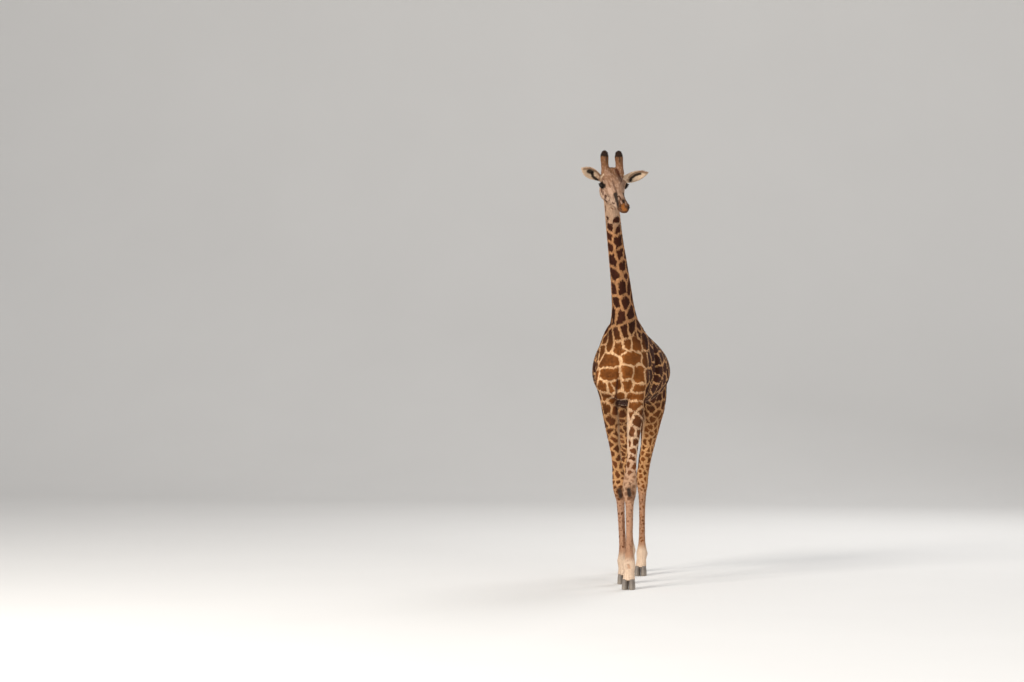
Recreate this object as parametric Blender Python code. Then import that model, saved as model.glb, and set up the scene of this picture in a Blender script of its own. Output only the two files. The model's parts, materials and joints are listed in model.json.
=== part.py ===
"""A Masai giraffe, life size, standing in mid stride with its head turned a little to its left.

Metres, Z up. The giraffe faces -Y and its left side is +X. The body is a set of tapered tubes and
balls that run smoothly into one another. It is modelled whole and then parted with thin flat cuts.
"""

import math
import random

import bmesh
import bpy
import numpy as np
from mathutils import Euler, Matrix, Vector

# Driving dimensions
GAP = 0.0003
BODY_VOXEL = 0.012
HEAD_VOXEL = 0.005
BODY_TRIANGLES = 5200
HEAD_TRIANGLES = 3900
HOOF_TOP = 0.100
EYE_RADIUS = 0.026
EYE_SIDE = 0.115
EYE_TURN = math.radians(20)
EYE_MIDDLE = (0.008, -0.81, 4.023)
EAR_ROOTS = {1: (0.085, 0.130, -0.022), -1: (-0.085, 0.130, 0.002)}
EAR_TIPS = {1: (0.372, 0.110, 0.092), -1: (-0.311, 0.110, 0.122)}
HEAD_YAW = math.radians(26.5)
HEAD_PITCH = math.radians(28)
MANE_HEIGHT = 0.095
MANE_LOCKS = 38
TASSEL_LENGTH = 0.66
TASSEL_TIERS = 3
TASSEL_AROUND = 6
HOOF_HALVES = {"front": 0.066, "hind": 0.062}
HOOF_SIDES = 14
CLEFT = 0.003

# How widely the surfaces of each part of the body run into their neighbours
TRUNK_BLEND = 0.06
LEG_BLEND = 0.05
NECK_BLEND = 0.07
TAIL_BLEND = 0.02
SKULL_BLEND = 0.045
HORN_BLEND = 0.02
EAR_BLEND = 0.02
FINE_BLEND = 0.006

# Trunk from chest to rump: y, height of its widest level, half width, up, down
TRUNK = (
    (-0.20, 2.23, 0.175, 0.26, 0.22),
    (-0.12, 2.21, 0.228, 0.38, 0.26),
    (-0.02, 2.20, 0.262, 0.47, 0.28),
    (0.10, 2.18, 0.300, 0.52, 0.31),
    (0.32, 2.17, 0.360, 0.46, 0.34),
    (0.55, 2.17, 0.395, 0.40, 0.35),
    (0.78, 2.17, 0.388, 0.35, 0.31),
    (0.97, 2.16, 0.348, 0.31, 0.24),
    (1.15, 2.15, 0.295, 0.27, 0.20),
    (1.27, 2.13, 0.232, 0.21, 0.20),
    (1.33, 2.12, 0.180, 0.16, 0.18),
)

# Neck from the trunk to the skull: x, y, z, half width, throat side, mane side
NECK = (
    (0.010, 0.03, 2.36, 0.220, 0.30, 0.31),
    (0.018, -0.05, 2.55, 0.180, 0.27, 0.26),
    (0.020, -0.12, 2.70, 0.132, 0.24, 0.22),
    (0.018, -0.19, 2.85, 0.107, 0.21, 0.19),
    (0.012, -0.25, 2.99, 0.099, 0.185, 0.17),
    (0.004, -0.31, 3.13, 0.091, 0.163, 0.155),
    (-0.007, -0.37, 3.28, 0.085, 0.146, 0.140),
    (-0.018, -0.43, 3.42, 0.079, 0.130, 0.126),
    (-0.027, -0.49, 3.56, 0.075, 0.116, 0.114),
    (-0.034, -0.555, 3.71, 0.073, 0.106, 0.104),
    (-0.040, -0.605, 3.83, 0.070, 0.100, 0.096),
    (-0.045, -0.65, 3.94, 0.068, 0.092, 0.100),
    (-0.048, -0.69, 4.03, 0.062, 0.080, 0.098),
)

# Head in its own frame, muzzle to nape: y, height of its widest level, half width, up, down
HEAD = (
    (-0.425, -0.064, 0.036, 0.034, 0.034),
    (-0.395, -0.062, 0.052, 0.050, 0.046),
    (-0.340, -0.058, 0.054, 0.054, 0.052),
    (-0.270, -0.050, 0.052, 0.053, 0.058),
    (-0.190, -0.036, 0.060, 0.058, 0.072),
    (-0.110, -0.018, 0.083, 0.070, 0.092),
    (-0.040, -0.004, 0.106, 0.084, 0.110),
    (0.030, 0.006, 0.109, 0.092, 0.118),
    (0.100, 0.006, 0.096, 0.076, 0.104),
    (0.150, 0.000, 0.077, 0.056, 0.078),
    (0.185, -0.004, 0.055, 0.040, 0.056),
)

# Lower jaw, chin to angle: y, z, half width, up, down
JAW = (
    (-0.385, -0.100, 0.026, 0.016, 0.016),
    (-0.330, -0.106, 0.034, 0.022, 0.022),
    (-0.220, -0.114, 0.040, 0.030, 0.030),
    (-0.100, -0.122, 0.056, 0.040, 0.040),
    (0.020, -0.128, 0.076, 0.050, 0.048),
    (0.095, -0.116, 0.074, 0.050, 0.046),
)

# Eyelids: height of the arch over the middle of the eye, thickness
LIDS = ((0.0200, 0.0060), (-0.0190, 0.0060))

# A nostril: middle, half sizes, turn in degrees
NOSTRIL = ((0.047, -0.408, -0.040), (0.010, 0.019, 0.006), (-35, 0, 14))

# The line between the lips: middle of its turn, how far round it goes each way, and its section as
# distances out from the skin and up
MOUTH_MIDDLE = (0, -0.360, -0.088)
MOUTH_TURN = 155
MOUTH_SECTION = ((0.006, 0.0022), (0.006, -0.0022), (-0.008, -0.0004), (-0.008, 0.0004))

# Balls that fill out the skull on each side: middle, half sizes, blend
CHEEK = ((0.066, 0.045, -0.080), (0.040, 0.085, 0.080), 0.04)
ORBIT = ((0.101, 0.008, 0.002), (0.025, 0.042, 0.038), 0.02)
BROW = ((0.097, 0.000, 0.033), (0.028, 0.044, 0.014), 0.02)
HORN_BASE = ((0.064, 0.080, 0.092), (0.044, 0.052, 0.052), 0.04)
NOSTRIL_RIM = ((0.034, -0.400, -0.044), (0.020, 0.034, 0.018), 0.02)

# Balls in the middle of the skull: forehead, crown between the horns, chin
FOREHEAD = ((0, -0.03, 0.072), (0.055, 0.085, 0.030), 0.05)
CROWN = ((0, 0.105, 0.100), (0.055, 0.050, 0.040), 0.04)
CHIN = ((0, -0.405, -0.082), (0.044, 0.038, 0.024), 0.02)

# Horns from the skull up: distance from the middle, y, z, half width
HORN = (
    (0.072, 0.075, 0.080, 0.046),
    (0.074, 0.112, 0.128, 0.041),
    (0.076, 0.148, 0.174, 0.039),
    (0.075, 0.178, 0.212, 0.042),
    (0.073, 0.198, 0.242, 0.032),
)

# Leaf of an ear and the cup in it: share of its length, half width, half depth behind and in front
EAR_LEAF = (
    (0.00, 0.028, 0.024, 0.024),
    (0.18, 0.040, 0.022, 0.018),
    (0.40, 0.055, 0.020, 0.013),
    (0.62, 0.058, 0.017, 0.010),
    (0.82, 0.042, 0.012, 0.008),
    (0.95, 0.019, 0.007, 0.006),
    (1.00, 0.007, 0.005, 0.005),
)
EAR_CUP = (
    (0.00, 0.016, 0.010, 0.020),
    (0.30, 0.038, 0.016, 0.030),
    (0.60, 0.044, 0.015, 0.030),
    (0.85, 0.030, 0.010, 0.025),
    (1.00, 0.010, 0.006, 0.020),
)

# The share of an ear's length that its cup takes up, and how far the cup is moved forward
CUP_START = 0.26
CUP_END = 0.88
CUP_FORWARD = 0.010

# The breast: middle, half sizes, blend
BREAST = ((0, -0.14, 2.08), (0.14, 0.12, 0.18), 0.10)

# Muscles on each side of the trunk: middle, half sizes, blend, turn in degrees
MUSCLES = (
    ((0.145, -0.02, 2.36), (0.080, 0.14, 0.32), 0.10, (-24, -8, 0)),
    ((0.165, -0.10, 2.07), (0.090, 0.14, 0.14), 0.08, (25, 0, 0)),
    ((0.160, 0.04, 2.03), (0.080, 0.14, 0.17), 0.08, (0, 0, 0)),
    ((0.145, 1.14, 2.14), (0.148, 0.20, 0.22), 0.10, (0, 0, 0)),
    ((0.185, 0.96, 2.34), (0.055, 0.09, 0.06), 0.09, (0, 0, 0)),
    ((0.180, 0.95, 1.93), (0.070, 0.12, 0.13), 0.10, (0, 0, 0)),
)

# Leg sections: place along the joints 0 to 4, half width, half depth behind, half depth in front
FRONT_LEG = (
    (0.00, 0.085, 0.140, 0.140),
    (0.50, 0.088, 0.135, 0.140),
    (1.00, 0.085, 0.115, 0.115),
    (1.20, 0.079, 0.096, 0.094),
    (1.45, 0.061, 0.076, 0.072),
    (1.67, 0.050, 0.060, 0.056),
    (1.84, 0.061, 0.056, 0.060),
    (1.95, 0.072, 0.058, 0.074),
    (2.05, 0.070, 0.056, 0.076),
    (2.13, 0.058, 0.050, 0.062),
    (2.22, 0.043, 0.044, 0.047),
    (2.45, 0.0375, 0.042, 0.042),
    (2.75, 0.037, 0.043, 0.041),
    (2.90, 0.046, 0.056, 0.046),
    (3.00, 0.064, 0.066, 0.056),
    (3.35, 0.056, 0.054, 0.056),
    (3.70, 0.062, 0.066, 0.070),
    (4.00, 0.064, 0.068, 0.074),
)
HIND_LEG = (
    (0.00, 0.142, 0.230, 0.240),
    (0.45, 0.144, 0.200, 0.250),
    (0.80, 0.128, 0.160, 0.225),
    (1.00, 0.104, 0.132, 0.185),
    (1.20, 0.091, 0.108, 0.140),
    (1.45, 0.077, 0.088, 0.100),
    (1.70, 0.065, 0.072, 0.072),
    (1.85, 0.062, 0.072, 0.060),
    (2.00, 0.066, 0.080, 0.057),
    (2.12, 0.059, 0.055, 0.055),
    (2.25, 0.043, 0.046, 0.046),
    (2.45, 0.034, 0.042, 0.041),
    (2.75, 0.034, 0.043, 0.041),
    (2.90, 0.042, 0.054, 0.045),
    (3.00, 0.059, 0.063, 0.054),
    (3.35, 0.052, 0.052, 0.054),
    (3.70, 0.058, 0.062, 0.066),
    (4.00, 0.060, 0.064, 0.070),
)

# Balls at the joints of the legs: offset from the joint, half sizes, blend, turn in degrees
ELBOW = ((0, 0.07, 0.04), (0.045, 0.06, 0.08), 0.06, (0, 0, 0))
HEEL = ((0, 0.060, 0.075), (0.026, 0.030, 0.085), 0.04, (12, 0, 0))
STIFLE = ((0, -0.08, 0.03), (0.075, 0.09, 0.12), 0.08, (0, 0, 0))
DEWCLAW = ((0.030, 0.045, -0.01), (0.022, 0.022, 0.030), 0.03, (0, 0, 0))

# Joints of each leg: shoulder or hip, elbow or stifle, knee or hock, fetlock, hoof
LEGS = {
    "leg_front_left": (
        FRONT_LEG,
        (
            (0.15, -0.03, 2.15),
            (0.135, -0.05, 1.88),
            (0.09, -0.215, 1.01),
            (0.094, -0.27, 0.24),
            (0.09, -0.29, 0.05),
        ),
    ),
    "leg_front_right": (
        FRONT_LEG,
        (
            (-0.15, -0.02, 2.15),
            (-0.15, 0.02, 1.88),
            (-0.061, 0.18, 1.01),
            (-0.036, 0.27, 0.24),
            (-0.030, 0.28, 0.05),
        ),
    ),
    "leg_hind_left": (
        HIND_LEG,
        (
            (0.155, 1.13, 2.16),
            (0.176, 1.16, 1.76),
            (0.03, 1.33, 1.06),
            (0.035, 1.24, 0.24),
            (0.026, 1.215, 0.05),
        ),
    ),
    "leg_hind_right": (
        HIND_LEG,
        (
            (-0.14, 1.13, 2.16),
            (-0.156, 1.2, 1.76),
            (-0.14, 1.45, 1.08),
            (-0.13, 1.53, 0.25),
            (-0.13, 1.525, 0.05),
        ),
    ),
}

# Dock of the tail: y, z, half width, half depth
TAIL = (
    (1.32, 2.27, 0.050, 0.055),
    (1.42, 2.25, 0.044, 0.045),
    (1.50, 2.15, 0.034, 0.035),
    (1.54, 1.98, 0.027, 0.028),
    (1.56, 1.78, 0.022, 0.023),
    (1.565, 1.55, 0.018, 0.018),
    (1.560, 1.36, 0.015, 0.015),
)

# Top of the tassel, and its locks: share of its length, radius
TASSEL_TOP = TAIL[-1][1] + 0.02
TASSEL_PROFILE = ((0, 0.022), (0.25, 0.042), (0.55, 0.050), (0.85, 0.034), (1, 0.010))

# Core of the tassel: share of its length, half width. Locks: half widths and half thicknesses, root to tip
TASSEL_CORE = ((0, 0.021), (0.25, 0.030), (0.55, 0.034), (0.80, 0.022), (0.92, 0.007))
TASSEL_LOCK = ((0.019, 0.005), (0.023, 0.008), (0.019, 0.007), (0.012, 0.005), (0.003, 0.0015))

# Mane: how deep it is rooted, half widths of its low ridge, and its locks as those of the tassel
MANE_ROOT = 0.03
MANE_RIDGE = (0.020, 0.012, 0.004)
MANE_LOCK = ((0.036, 0.010), (0.040, 0.009), (0.036, 0.007), (0.026, 0.005), (0.012, 0.002))

# A toe from the floor up: height, share of the hoof's half width, reach to the front and to the back
TOE = (
    (0.000, 1.00, 0.082, 0.060),
    (0.012, 1.00, 0.082, 0.060),
    (0.060, 0.97, 0.072, 0.062),
    (HOOF_TOP - GAP, 0.90, 0.060, 0.058),
)

# Thin cuts: middle, the way that they face, size. That of the horns is mirrored.
NAPE_CUT = ((-0.033, -0.640, 3.935), (0, -0.50, 0.87))
NECK_CUT = ((0, -0.150, 2.560), (0, -0.62, 0.78), (1.0, 0.86))
TAIL_CUT = ((0, 1.530, 2.03), (0, -0.20, 0.98), (0.12, 0.10))
LEG_CUTS = {
    "leg_front_left": ((0.140, -0.060, 1.835), (-0.60, 0, 0.80), (0.36, 0.30)),
    "leg_front_right": ((-0.140, 0.010, 1.835), (0.60, 0, 0.80), (0.36, 0.30)),
    "leg_hind_left": ((0.160, 1.075, 1.840), (-0.45, 0, 0.89), (0.54, 0.37)),
    "leg_hind_right": ((-0.160, 1.075, 1.840), (0.45, 0, 0.89), (0.54, 0.37)),
}
HORN_CUT = ((0.076, 0.130, 0.155), (0, 0.62, 0.79), (0.112, 0.14))
EAR_CUT_OUT = 0.042
EAR_CUT_SIZE = (0.13, 0.12)

COLOURS = {
    "coat": (0.42, 0.24, 0.11),
    "horn": (0.16, 0.09, 0.05),
    "ear": (0.62, 0.50, 0.36),
    "eye": (0.012, 0.008, 0.006),
    "hoof": (0.07, 0.06, 0.05),
    "tassel": (0.02, 0.014, 0.01),
}


def unit(v):
    return v / np.linalg.norm(v, axis=-1, keepdims=True)


def head_frame():
    """The matrix from the head's own frame, facing -Y with its middle between the eyes, to the world."""
    turn = Euler((HEAD_PITCH, 0, HEAD_YAW), "XYZ").to_matrix().to_4x4()
    return Matrix.Translation(EYE_MIDDLE) @ turn


HEAD_FRAME = head_frame()
WORLD_FRAME = Matrix.Identity(4)


def spline(rows, steps):
    """Points of a smooth curve through the rows, a few steps between each two."""
    rows = np.array(rows, float)
    padded = np.vstack((2 * rows[0] - rows[1], rows, 2 * rows[-1] - rows[-2]))
    points = []
    for i in range(len(rows) - 1):
        a, b, c, d = padded[i:i + 4]
        for t in np.arange(steps) / steps:
            bend = (2 * a - 5 * b + 4 * c - d) * t * t + (3 * b - 3 * c + d - a) * t ** 3
            points.append(b + 0.5 * ((c - a) * t + bend))
    points.append(rows[-1])
    return np.array(points)


class Tube:
    """A tapered tube along a curve. A row is x, y, z, half width, and half depth to either side."""

    def __init__(self, rows, blend, side=(1, 0, 0), frame=WORLD_FRAME, steps=4):
        rows = spline(rows, steps)
        matrix = np.array(frame)
        self.middle = rows[:, :3] @ matrix[:3, :3].T + matrix[:3, 3]
        self.halves = rows[:, 3:6]
        self.along = unit(np.gradient(self.middle, axis=0))
        side = np.array(frame.to_3x3() @ Vector(side))
        across = side - (self.along @ side)[:, None] * self.along
        self.across = unit(across)
        self.depth = np.cross(self.across, self.along)
        self.blend = blend
        reach = self.halves.max() + blend
        self.low = self.middle.min(axis=0) - reach
        self.high = self.middle.max(axis=0) + reach

    def distance(self, points):
        """About how far each point is from the tube's surface, less than zero inside."""
        start = self.middle[:-1]
        step = np.diff(self.middle, axis=0)
        length = (step * step).sum(axis=1)
        reach = points @ step.T - (start * step).sum(axis=1)
        t = np.clip(reach / length, 0, 1)
        square = (points * points).sum(axis=1)[:, None] - 2 * points @ start.T + (start * start).sum(axis=1)
        nearest = np.argmin(square - 2 * t * reach + t * t * length, axis=1)
        t = t[np.arange(len(points)), nearest][:, None]

        def between(values):
            return values[nearest] * (1 - t) + values[nearest + 1] * t

        offset = points - between(self.middle)
        halves = between(self.halves)
        across = (offset * unit(between(self.across))).sum(axis=1)
        depth = (offset * unit(between(self.depth))).sum(axis=1)
        along = (offset * unit(between(self.along))).sum(axis=1)
        half_depth = np.where(depth > 0, halves[:, 1], halves[:, 2])
        sizes = (halves[:, 0], half_depth, halves.min(axis=1))
        return ellipse_distance((across, depth, along), sizes)

    def skin(self, mesh):
        """Adds the tube to the mesh as rings of 16 points, closed at both ends."""
        turns = np.linspace(0, 2 * math.pi, 16, endpoint=False)
        rings = []
        for i, middle in enumerate(self.middle):
            ring = []
            for turn in turns:
                half_depth = self.halves[i, 1] if math.sin(turn) > 0 else self.halves[i, 2]
                point = middle + self.across[i] * self.halves[i, 0] * math.cos(turn)
                ring.append(mesh.verts.new(point + self.depth[i] * half_depth * math.sin(turn)))
            rings.append(ring)
        bridge(mesh, rings)


class Ball:
    """An ellipsoid with half sizes along its own axes, which may be turned."""

    def __init__(self, middle, halves, blend, turn=(0, 0, 0), frame=WORLD_FRAME):
        turned = frame.to_3x3() @ Euler([math.radians(a) for a in turn], "XYZ").to_matrix()
        self.axes = np.array(turned)
        self.middle = np.array(frame @ Vector(middle))
        self.halves = np.array(halves)
        self.blend = blend
        reach = max(halves) + blend
        self.low = self.middle - reach
        self.high = self.middle + reach

    def distance(self, points):
        offset = (points - self.middle) @ self.axes
        return ellipse_distance(offset.T, self.halves)

    def skin(self, mesh):
        place = Matrix.Translation(self.middle) @ Matrix(self.axes).to_4x4()
        scale = Matrix.Diagonal((*self.halves, 1))
        bmesh.ops.create_uvsphere(mesh, u_segments=16, v_segments=10, radius=1, matrix=place @ scale)


def ellipse_distance(offset, halves):
    """First estimate of the distance to an ellipsoid from offsets along its axes."""
    radius = np.sqrt(sum((o / h) ** 2 for o, h in zip(offset, halves)))
    slope = np.sqrt(sum((o / h ** 2) ** 2 for o, h in zip(offset, halves)))
    return (radius - 1) * radius / np.maximum(slope, 1e-9)


def smooth_min(a, b, width):
    share = np.clip(0.5 + 0.5 * (b - a) / width, 0, 1)
    return b + (a - b) * share - width * share * (1 - share)


def field(points, solids, hollows, chunk=20000):
    """Distance to the blended surface of the solids with the hollows taken out."""
    out = np.full(len(points), 0.5)
    for first in range(0, len(points), chunk):
        part = points[first:first + chunk]
        value = out[first:first + chunk]
        for shape in solids:
            near = np.all((part > shape.low) & (part < shape.high), axis=1)
            if near.any():
                value[near] = smooth_min(value[near], shape.distance(part[near]), shape.blend)
        for shape in hollows:
            near = np.all((part > shape.low) & (part < shape.high), axis=1)
            if near.any():
                value[near] = -smooth_min(-value[near], shape.distance(part[near]), shape.blend)
    return out


def trunk_shapes():
    """Chest, ribs, belly and rump, with the shoulder and hip muscles on each side."""
    shapes = [Tube([(0, y, z, half, up, down) for y, z, half, up, down in TRUNK], TRUNK_BLEND)]
    shapes.append(Ball(*BREAST))
    for side in (1, -1):
        for (x, y, z), halves, blend, (nod, lean, _) in MUSCLES:
            shapes.append(Ball((side * x, y, z), halves, blend, turn=(nod, side * lean, 0)))
    return shapes


def leg_tube(sections, joints):
    """One leg as a tube through its joints, from inside the trunk to below the top of the hoof."""
    joints = np.array(joints)
    rows = []
    for place, half, behind, front in sections:
        joint = min(int(place), len(joints) - 2)
        middle = joints[joint] + (joints[joint + 1] - joints[joint]) * (place - joint)
        rows.append((*middle, half, behind, front))
    return Tube(rows, LEG_BLEND, steps=3)


def joint_ball(joint, ball, side=1):
    """A ball beside a joint, to its right when the side is -1."""
    (x, y, z), halves, blend, turn = ball
    return Ball(joint + Vector((side * x, y, z)), halves, blend, turn=turn)


def leg_shapes():
    shapes = [leg_tube(*leg) for leg in LEGS.values()]
    for name, (_, joints) in LEGS.items():
        _, bend, middle, fetlock, _ = (Vector(j) for j in joints)
        if "front" in name:
            shapes.append(joint_ball(bend, ELBOW))
        else:
            shapes.append(joint_ball(middle, HEEL))
            shapes.append(joint_ball(bend, STIFLE))
        for side in (1, -1):
            shapes.append(joint_ball(fetlock, DEWCLAW, side))
    return shapes


def neck_tube(rows=NECK):
    return Tube(rows, NECK_BLEND, steps=3)


def lid(side, rise, thick):
    """An eyelid, arched over the ball of the eye from its front corner to the back one."""
    radius = EYE_RADIUS + 0.002
    rows = []
    for t in np.linspace(-1, 1, 7):
        back = EYE_RADIUS * t
        z = rise * (1 - t * t)
        out = math.sqrt(radius ** 2 - back ** 2 - z ** 2)
        x = out * math.cos(EYE_TURN) + back * math.sin(EYE_TURN)
        y = back * math.cos(EYE_TURN) - out * math.sin(EYE_TURN)
        rows.append((side * (EYE_SIDE + x), y, z, thick, thick, thick))
    return Tube(rows, FINE_BLEND, side=(0, 0, 1), frame=HEAD_FRAME, steps=2)


def skull_shapes():
    """Skull, jaw, cheeks, brows and muzzle, in the head's own frame."""
    shapes = []
    for rows in (HEAD, JAW):
        rows = [(0, y, z, half, up, down) for y, z, half, up, down in rows]
        shapes.append(Tube(rows, SKULL_BLEND, frame=HEAD_FRAME))
    for middle, halves, blend in (FOREHEAD, CROWN, CHIN):
        shapes.append(Ball(middle, halves, blend, frame=HEAD_FRAME))
    for side in (1, -1):
        for (x, y, z), halves, blend in (CHEEK, ORBIT, BROW, HORN_BASE, NOSTRIL_RIM):
            shapes.append(Ball((side * x, y, z), halves, blend, frame=HEAD_FRAME))
        for rise, thick in LIDS:
            shapes.append(lid(side, rise, thick))
    return shapes


def horn_shapes():
    shapes = []
    for side in (1, -1):
        rows = [(side * x, y, z, half, half, half) for x, y, z, half in HORN]
        shapes.append(Tube(rows, HORN_BLEND, frame=HEAD_FRAME))
    return shapes


def ear_tube(side, start, end, forward, sections, blend):
    """A tube along an ear from one share of its length to another, moved forward by a distance."""
    root = np.array(EAR_ROOTS[side])
    tip = np.array(EAR_TIPS[side])
    rows = []
    for t, half, behind, front in sections:
        place = root + (tip - root) * (start + (end - start) * t)
        rows.append((place[0], place[1] - forward, place[2], half, behind, front))
    return Tube(rows, blend, side=(0, 0, side), frame=HEAD_FRAME)


def ear_shapes():
    """Both ears as leaves, and the cups that are hollowed out of them."""
    leaves = []
    cups = []
    for side in (1, -1):
        leaves.append(ear_tube(side, 0, 1, 0, EAR_LEAF, EAR_BLEND))
        cups.append(ear_tube(side, CUP_START, CUP_END, CUP_FORWARD, EAR_CUP, FINE_BLEND))
    return leaves, cups


def face_hollows():
    """The two nostrils."""
    (x, y, z), halves, (nod, _, swing) = NOSTRIL
    hollows = []
    for side in (1, -1):
        turn = (nod, 0, side * swing)
        hollows.append(Ball((side * x, y, z), halves, FINE_BLEND, turn=turn, frame=HEAD_FRAME))
    return hollows


def new_object(name, mesh):
    thing = bpy.data.objects.new(name, mesh)
    bpy.context.scene.collection.objects.link(thing)
    return thing


def mesh_object(name, mesh):
    """Turns a closed bmesh into an object with its faces pointing out."""
    bmesh.ops.recalc_face_normals(mesh, faces=mesh.faces)
    data = bpy.data.meshes.new(name)
    mesh.to_mesh(data)
    mesh.free()
    return new_object(name, data)


def bridge(mesh, rings):
    """Faces between each two rings of points, and a cap at both ends."""
    for a, b in zip(rings, rings[1:]):
        for k in range(len(a)):
            mesh.faces.new((a[k - 1], a[k], b[k], b[k - 1]))
    mesh.faces.new(rings[0])
    mesh.faces.new(rings[-1][::-1])


def apply_modifiers(thing):
    """Replaces an object's mesh with what its modifiers make of it."""
    graph = bpy.context.evaluated_depsgraph_get()
    mesh = bpy.data.meshes.new_from_object(thing.evaluated_get(graph))
    old = thing.data
    thing.modifiers.clear()
    thing.data = mesh
    bpy.data.meshes.remove(old)


def settle(mesh, solids, hollows, rounds, limit):
    """Evens the points out and moves them onto the blended surface, no further than the limit at a time."""
    count = len(mesh.vertices)
    edges = np.empty(len(mesh.edges) * 2, np.int32)
    mesh.edges.foreach_get("vertices", edges)
    first, second = edges.reshape(-1, 2).T
    links = np.bincount(first, minlength=count) + np.bincount(second, minlength=count)
    points = np.empty(count * 3, np.float32)
    normals = np.empty(count * 3, np.float32)
    mesh.vertices.foreach_get("co", points)
    points = points.reshape(-1, 3).astype(float)
    for turn in range(rounds):
        if turn < rounds - 2:
            middle = np.empty_like(points)
            for k, column in enumerate(points.T):
                middle[:, k] = np.bincount(first, column[second], count)
                middle[:, k] += np.bincount(second, column[first], count)
            points += 0.5 * (middle / links[:, None] - points)
        mesh.vertices.foreach_set("co", points.astype(np.float32).ravel())
        mesh.update()
        mesh.vertices.foreach_get("normal", normals)
        away = np.clip(field(points, solids, hollows), -limit, limit)
        points -= away[:, None] * normals.reshape(-1, 3)
    mesh.vertices.foreach_set("co", points.astype(np.float32).ravel())
    mesh.update()


def remesh(thing, voxel):
    """One even closed surface round all that the object's mesh encloses."""
    cover = thing.modifiers.new("remesh", "REMESH")
    cover.mode = "VOXEL"
    cover.voxel_size = voxel
    apply_modifiers(thing)


def blended_skin(name, solids, hollows, voxel, triangles):
    """One closed object round all the solids, thinned to the given number of triangles."""
    mesh = bmesh.new()
    for shape in solids:
        shape.skin(mesh)
    thing = mesh_object(name, mesh)
    remesh(thing, voxel)
    settle(thing.data, solids, [], 6, 0.03)
    if hollows:
        settle(thing.data, solids, hollows, 9, 0.004)
    remesh(thing, voxel)
    settle(thing.data, solids, hollows, 1, voxel / 4)
    thin = thing.modifiers.new("thin", "DECIMATE")
    thin.ratio = triangles / (2 * len(thing.data.polygons))
    apply_modifiers(thing)
    return thing


def box(name, size, matrix):
    """A closed box with its middle at the matrix's place."""
    mesh = bmesh.new()
    bmesh.ops.create_cube(mesh, size=1, matrix=matrix @ Matrix.Diagonal((*size, 1)))
    thing = mesh_object(name, mesh)
    thing.hide_render = True
    thing.display_type = "WIRE"
    return thing


def facing(middle, normal):
    """A matrix at the middle whose Z axis is the normal."""
    return Matrix.Translation(middle) @ Vector(normal).to_track_quat("Z", "Y").to_matrix().to_4x4()


def box_beyond(cut, side):
    """A large box that takes away all that lies on one side of a cut, and half the gap."""
    away = Matrix.Translation((0, 0, side * (1 - GAP / 2)))
    return box("beyond", (2.4, 2.4, 2), facing(cut[0], cut[1]) @ away)


def combine(thing, tools, operation):
    """One Boolean of the object with all the tools, which are then removed."""
    group = bpy.data.collections.new("tools")
    for tool in tools:
        group.objects.link(tool)
    cut = thing.modifiers.new("combine", "BOOLEAN")
    cut.operation = operation
    cut.operand_type = "COLLECTION"
    cut.collection = group
    cut.solver = "EXACT"
    apply_modifiers(thing)
    for tool in list(group.objects):
        data = tool.data
        bpy.data.objects.remove(tool)
        if data.users == 0:
            bpy.data.meshes.remove(data)
    bpy.data.collections.remove(group)


def pieces(thing):
    """The closed surfaces of an object, each as a new mesh, largest first."""
    mesh = bmesh.new()
    mesh.from_mesh(thing.data)
    group = {}
    count = 0
    for face in mesh.faces:
        if face.index in group:
            continue
        todo = [face]
        group[face.index] = count
        while todo:
            for edge in todo.pop().edges:
                for other in edge.link_faces:
                    if other.index not in group:
                        group[other.index] = count
                        todo.append(other)
        count += 1
    out = []
    for k in range(count):
        part = mesh.copy()
        part.faces.ensure_lookup_table()
        bmesh.ops.delete(part, geom=[f for f in part.faces if group[f.index] != k], context="FACES")
        data = bpy.data.meshes.new("piece")
        part.to_mesh(data)
        part.free()
        out.append(data)
    mesh.free()
    return sorted(out, key=lambda data: -len(data.vertices))


def centre(data):
    points = [v.co for v in data.vertices]
    return sum(points, Vector()) / len(points)


def name_pieces(thing, places):
    """Gives each closed surface the name of the place that its middle is nearest to."""
    found = {}
    for data in pieces(thing):
        middle = centre(data)
        name = min(places, key=lambda key: (Vector(places[key]) - middle).length)
        if name not in found:
            found[name] = new_object(name, data)
    bpy.data.objects.remove(thing)
    return found


def keep_largest(thing):
    old = thing.data
    thing.data = pieces(thing)[0]
    bpy.data.meshes.remove(old)


def thin_cut(name, cut, frame=WORLD_FRAME):
    """A box as thick as the gap, which parts what it passes through."""
    middle, normal, size = cut
    return box(name, (*size, GAP), frame @ facing(middle, normal))


def build_body():
    """Trunk, neck, legs and tail, parted by thin cuts."""
    solids = trunk_shapes() + [neck_tube()] + leg_shapes() + skull_shapes()
    tail = Tube([(0, y, z, half, deep, deep) for y, z, half, deep in TAIL], TAIL_BLEND)
    body = blended_skin("whole body", solids + [tail], [], BODY_VOXEL, BODY_TRIANGLES)
    cutters = [box_beyond(NAPE_CUT, 1), thin_cut("neck_cut", NECK_CUT), thin_cut("tail_cut", TAIL_CUT)]
    cutters.append(box("below", (2, 3, 1), Matrix.Translation((0, 0.6, HOOF_TOP - 0.5))))
    cutters.append(box("tassel_cut", (0.2, 0.2, GAP), Matrix.Translation((0, TAIL[-1][0], TASSEL_TOP))))
    for name, cut in LEG_CUTS.items():
        cutters.append(thin_cut(name + "_cut", cut))
    combine(body, cutters, "DIFFERENCE")
    places = {"torso": (0, 0.6, 2.2), "neck": (0, -0.4, 3.3), "tail": (0, 1.63, 1.8)}
    for name, (_, joints) in LEGS.items():
        places[name] = joints[2]
    return name_pieces(body, places)


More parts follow.
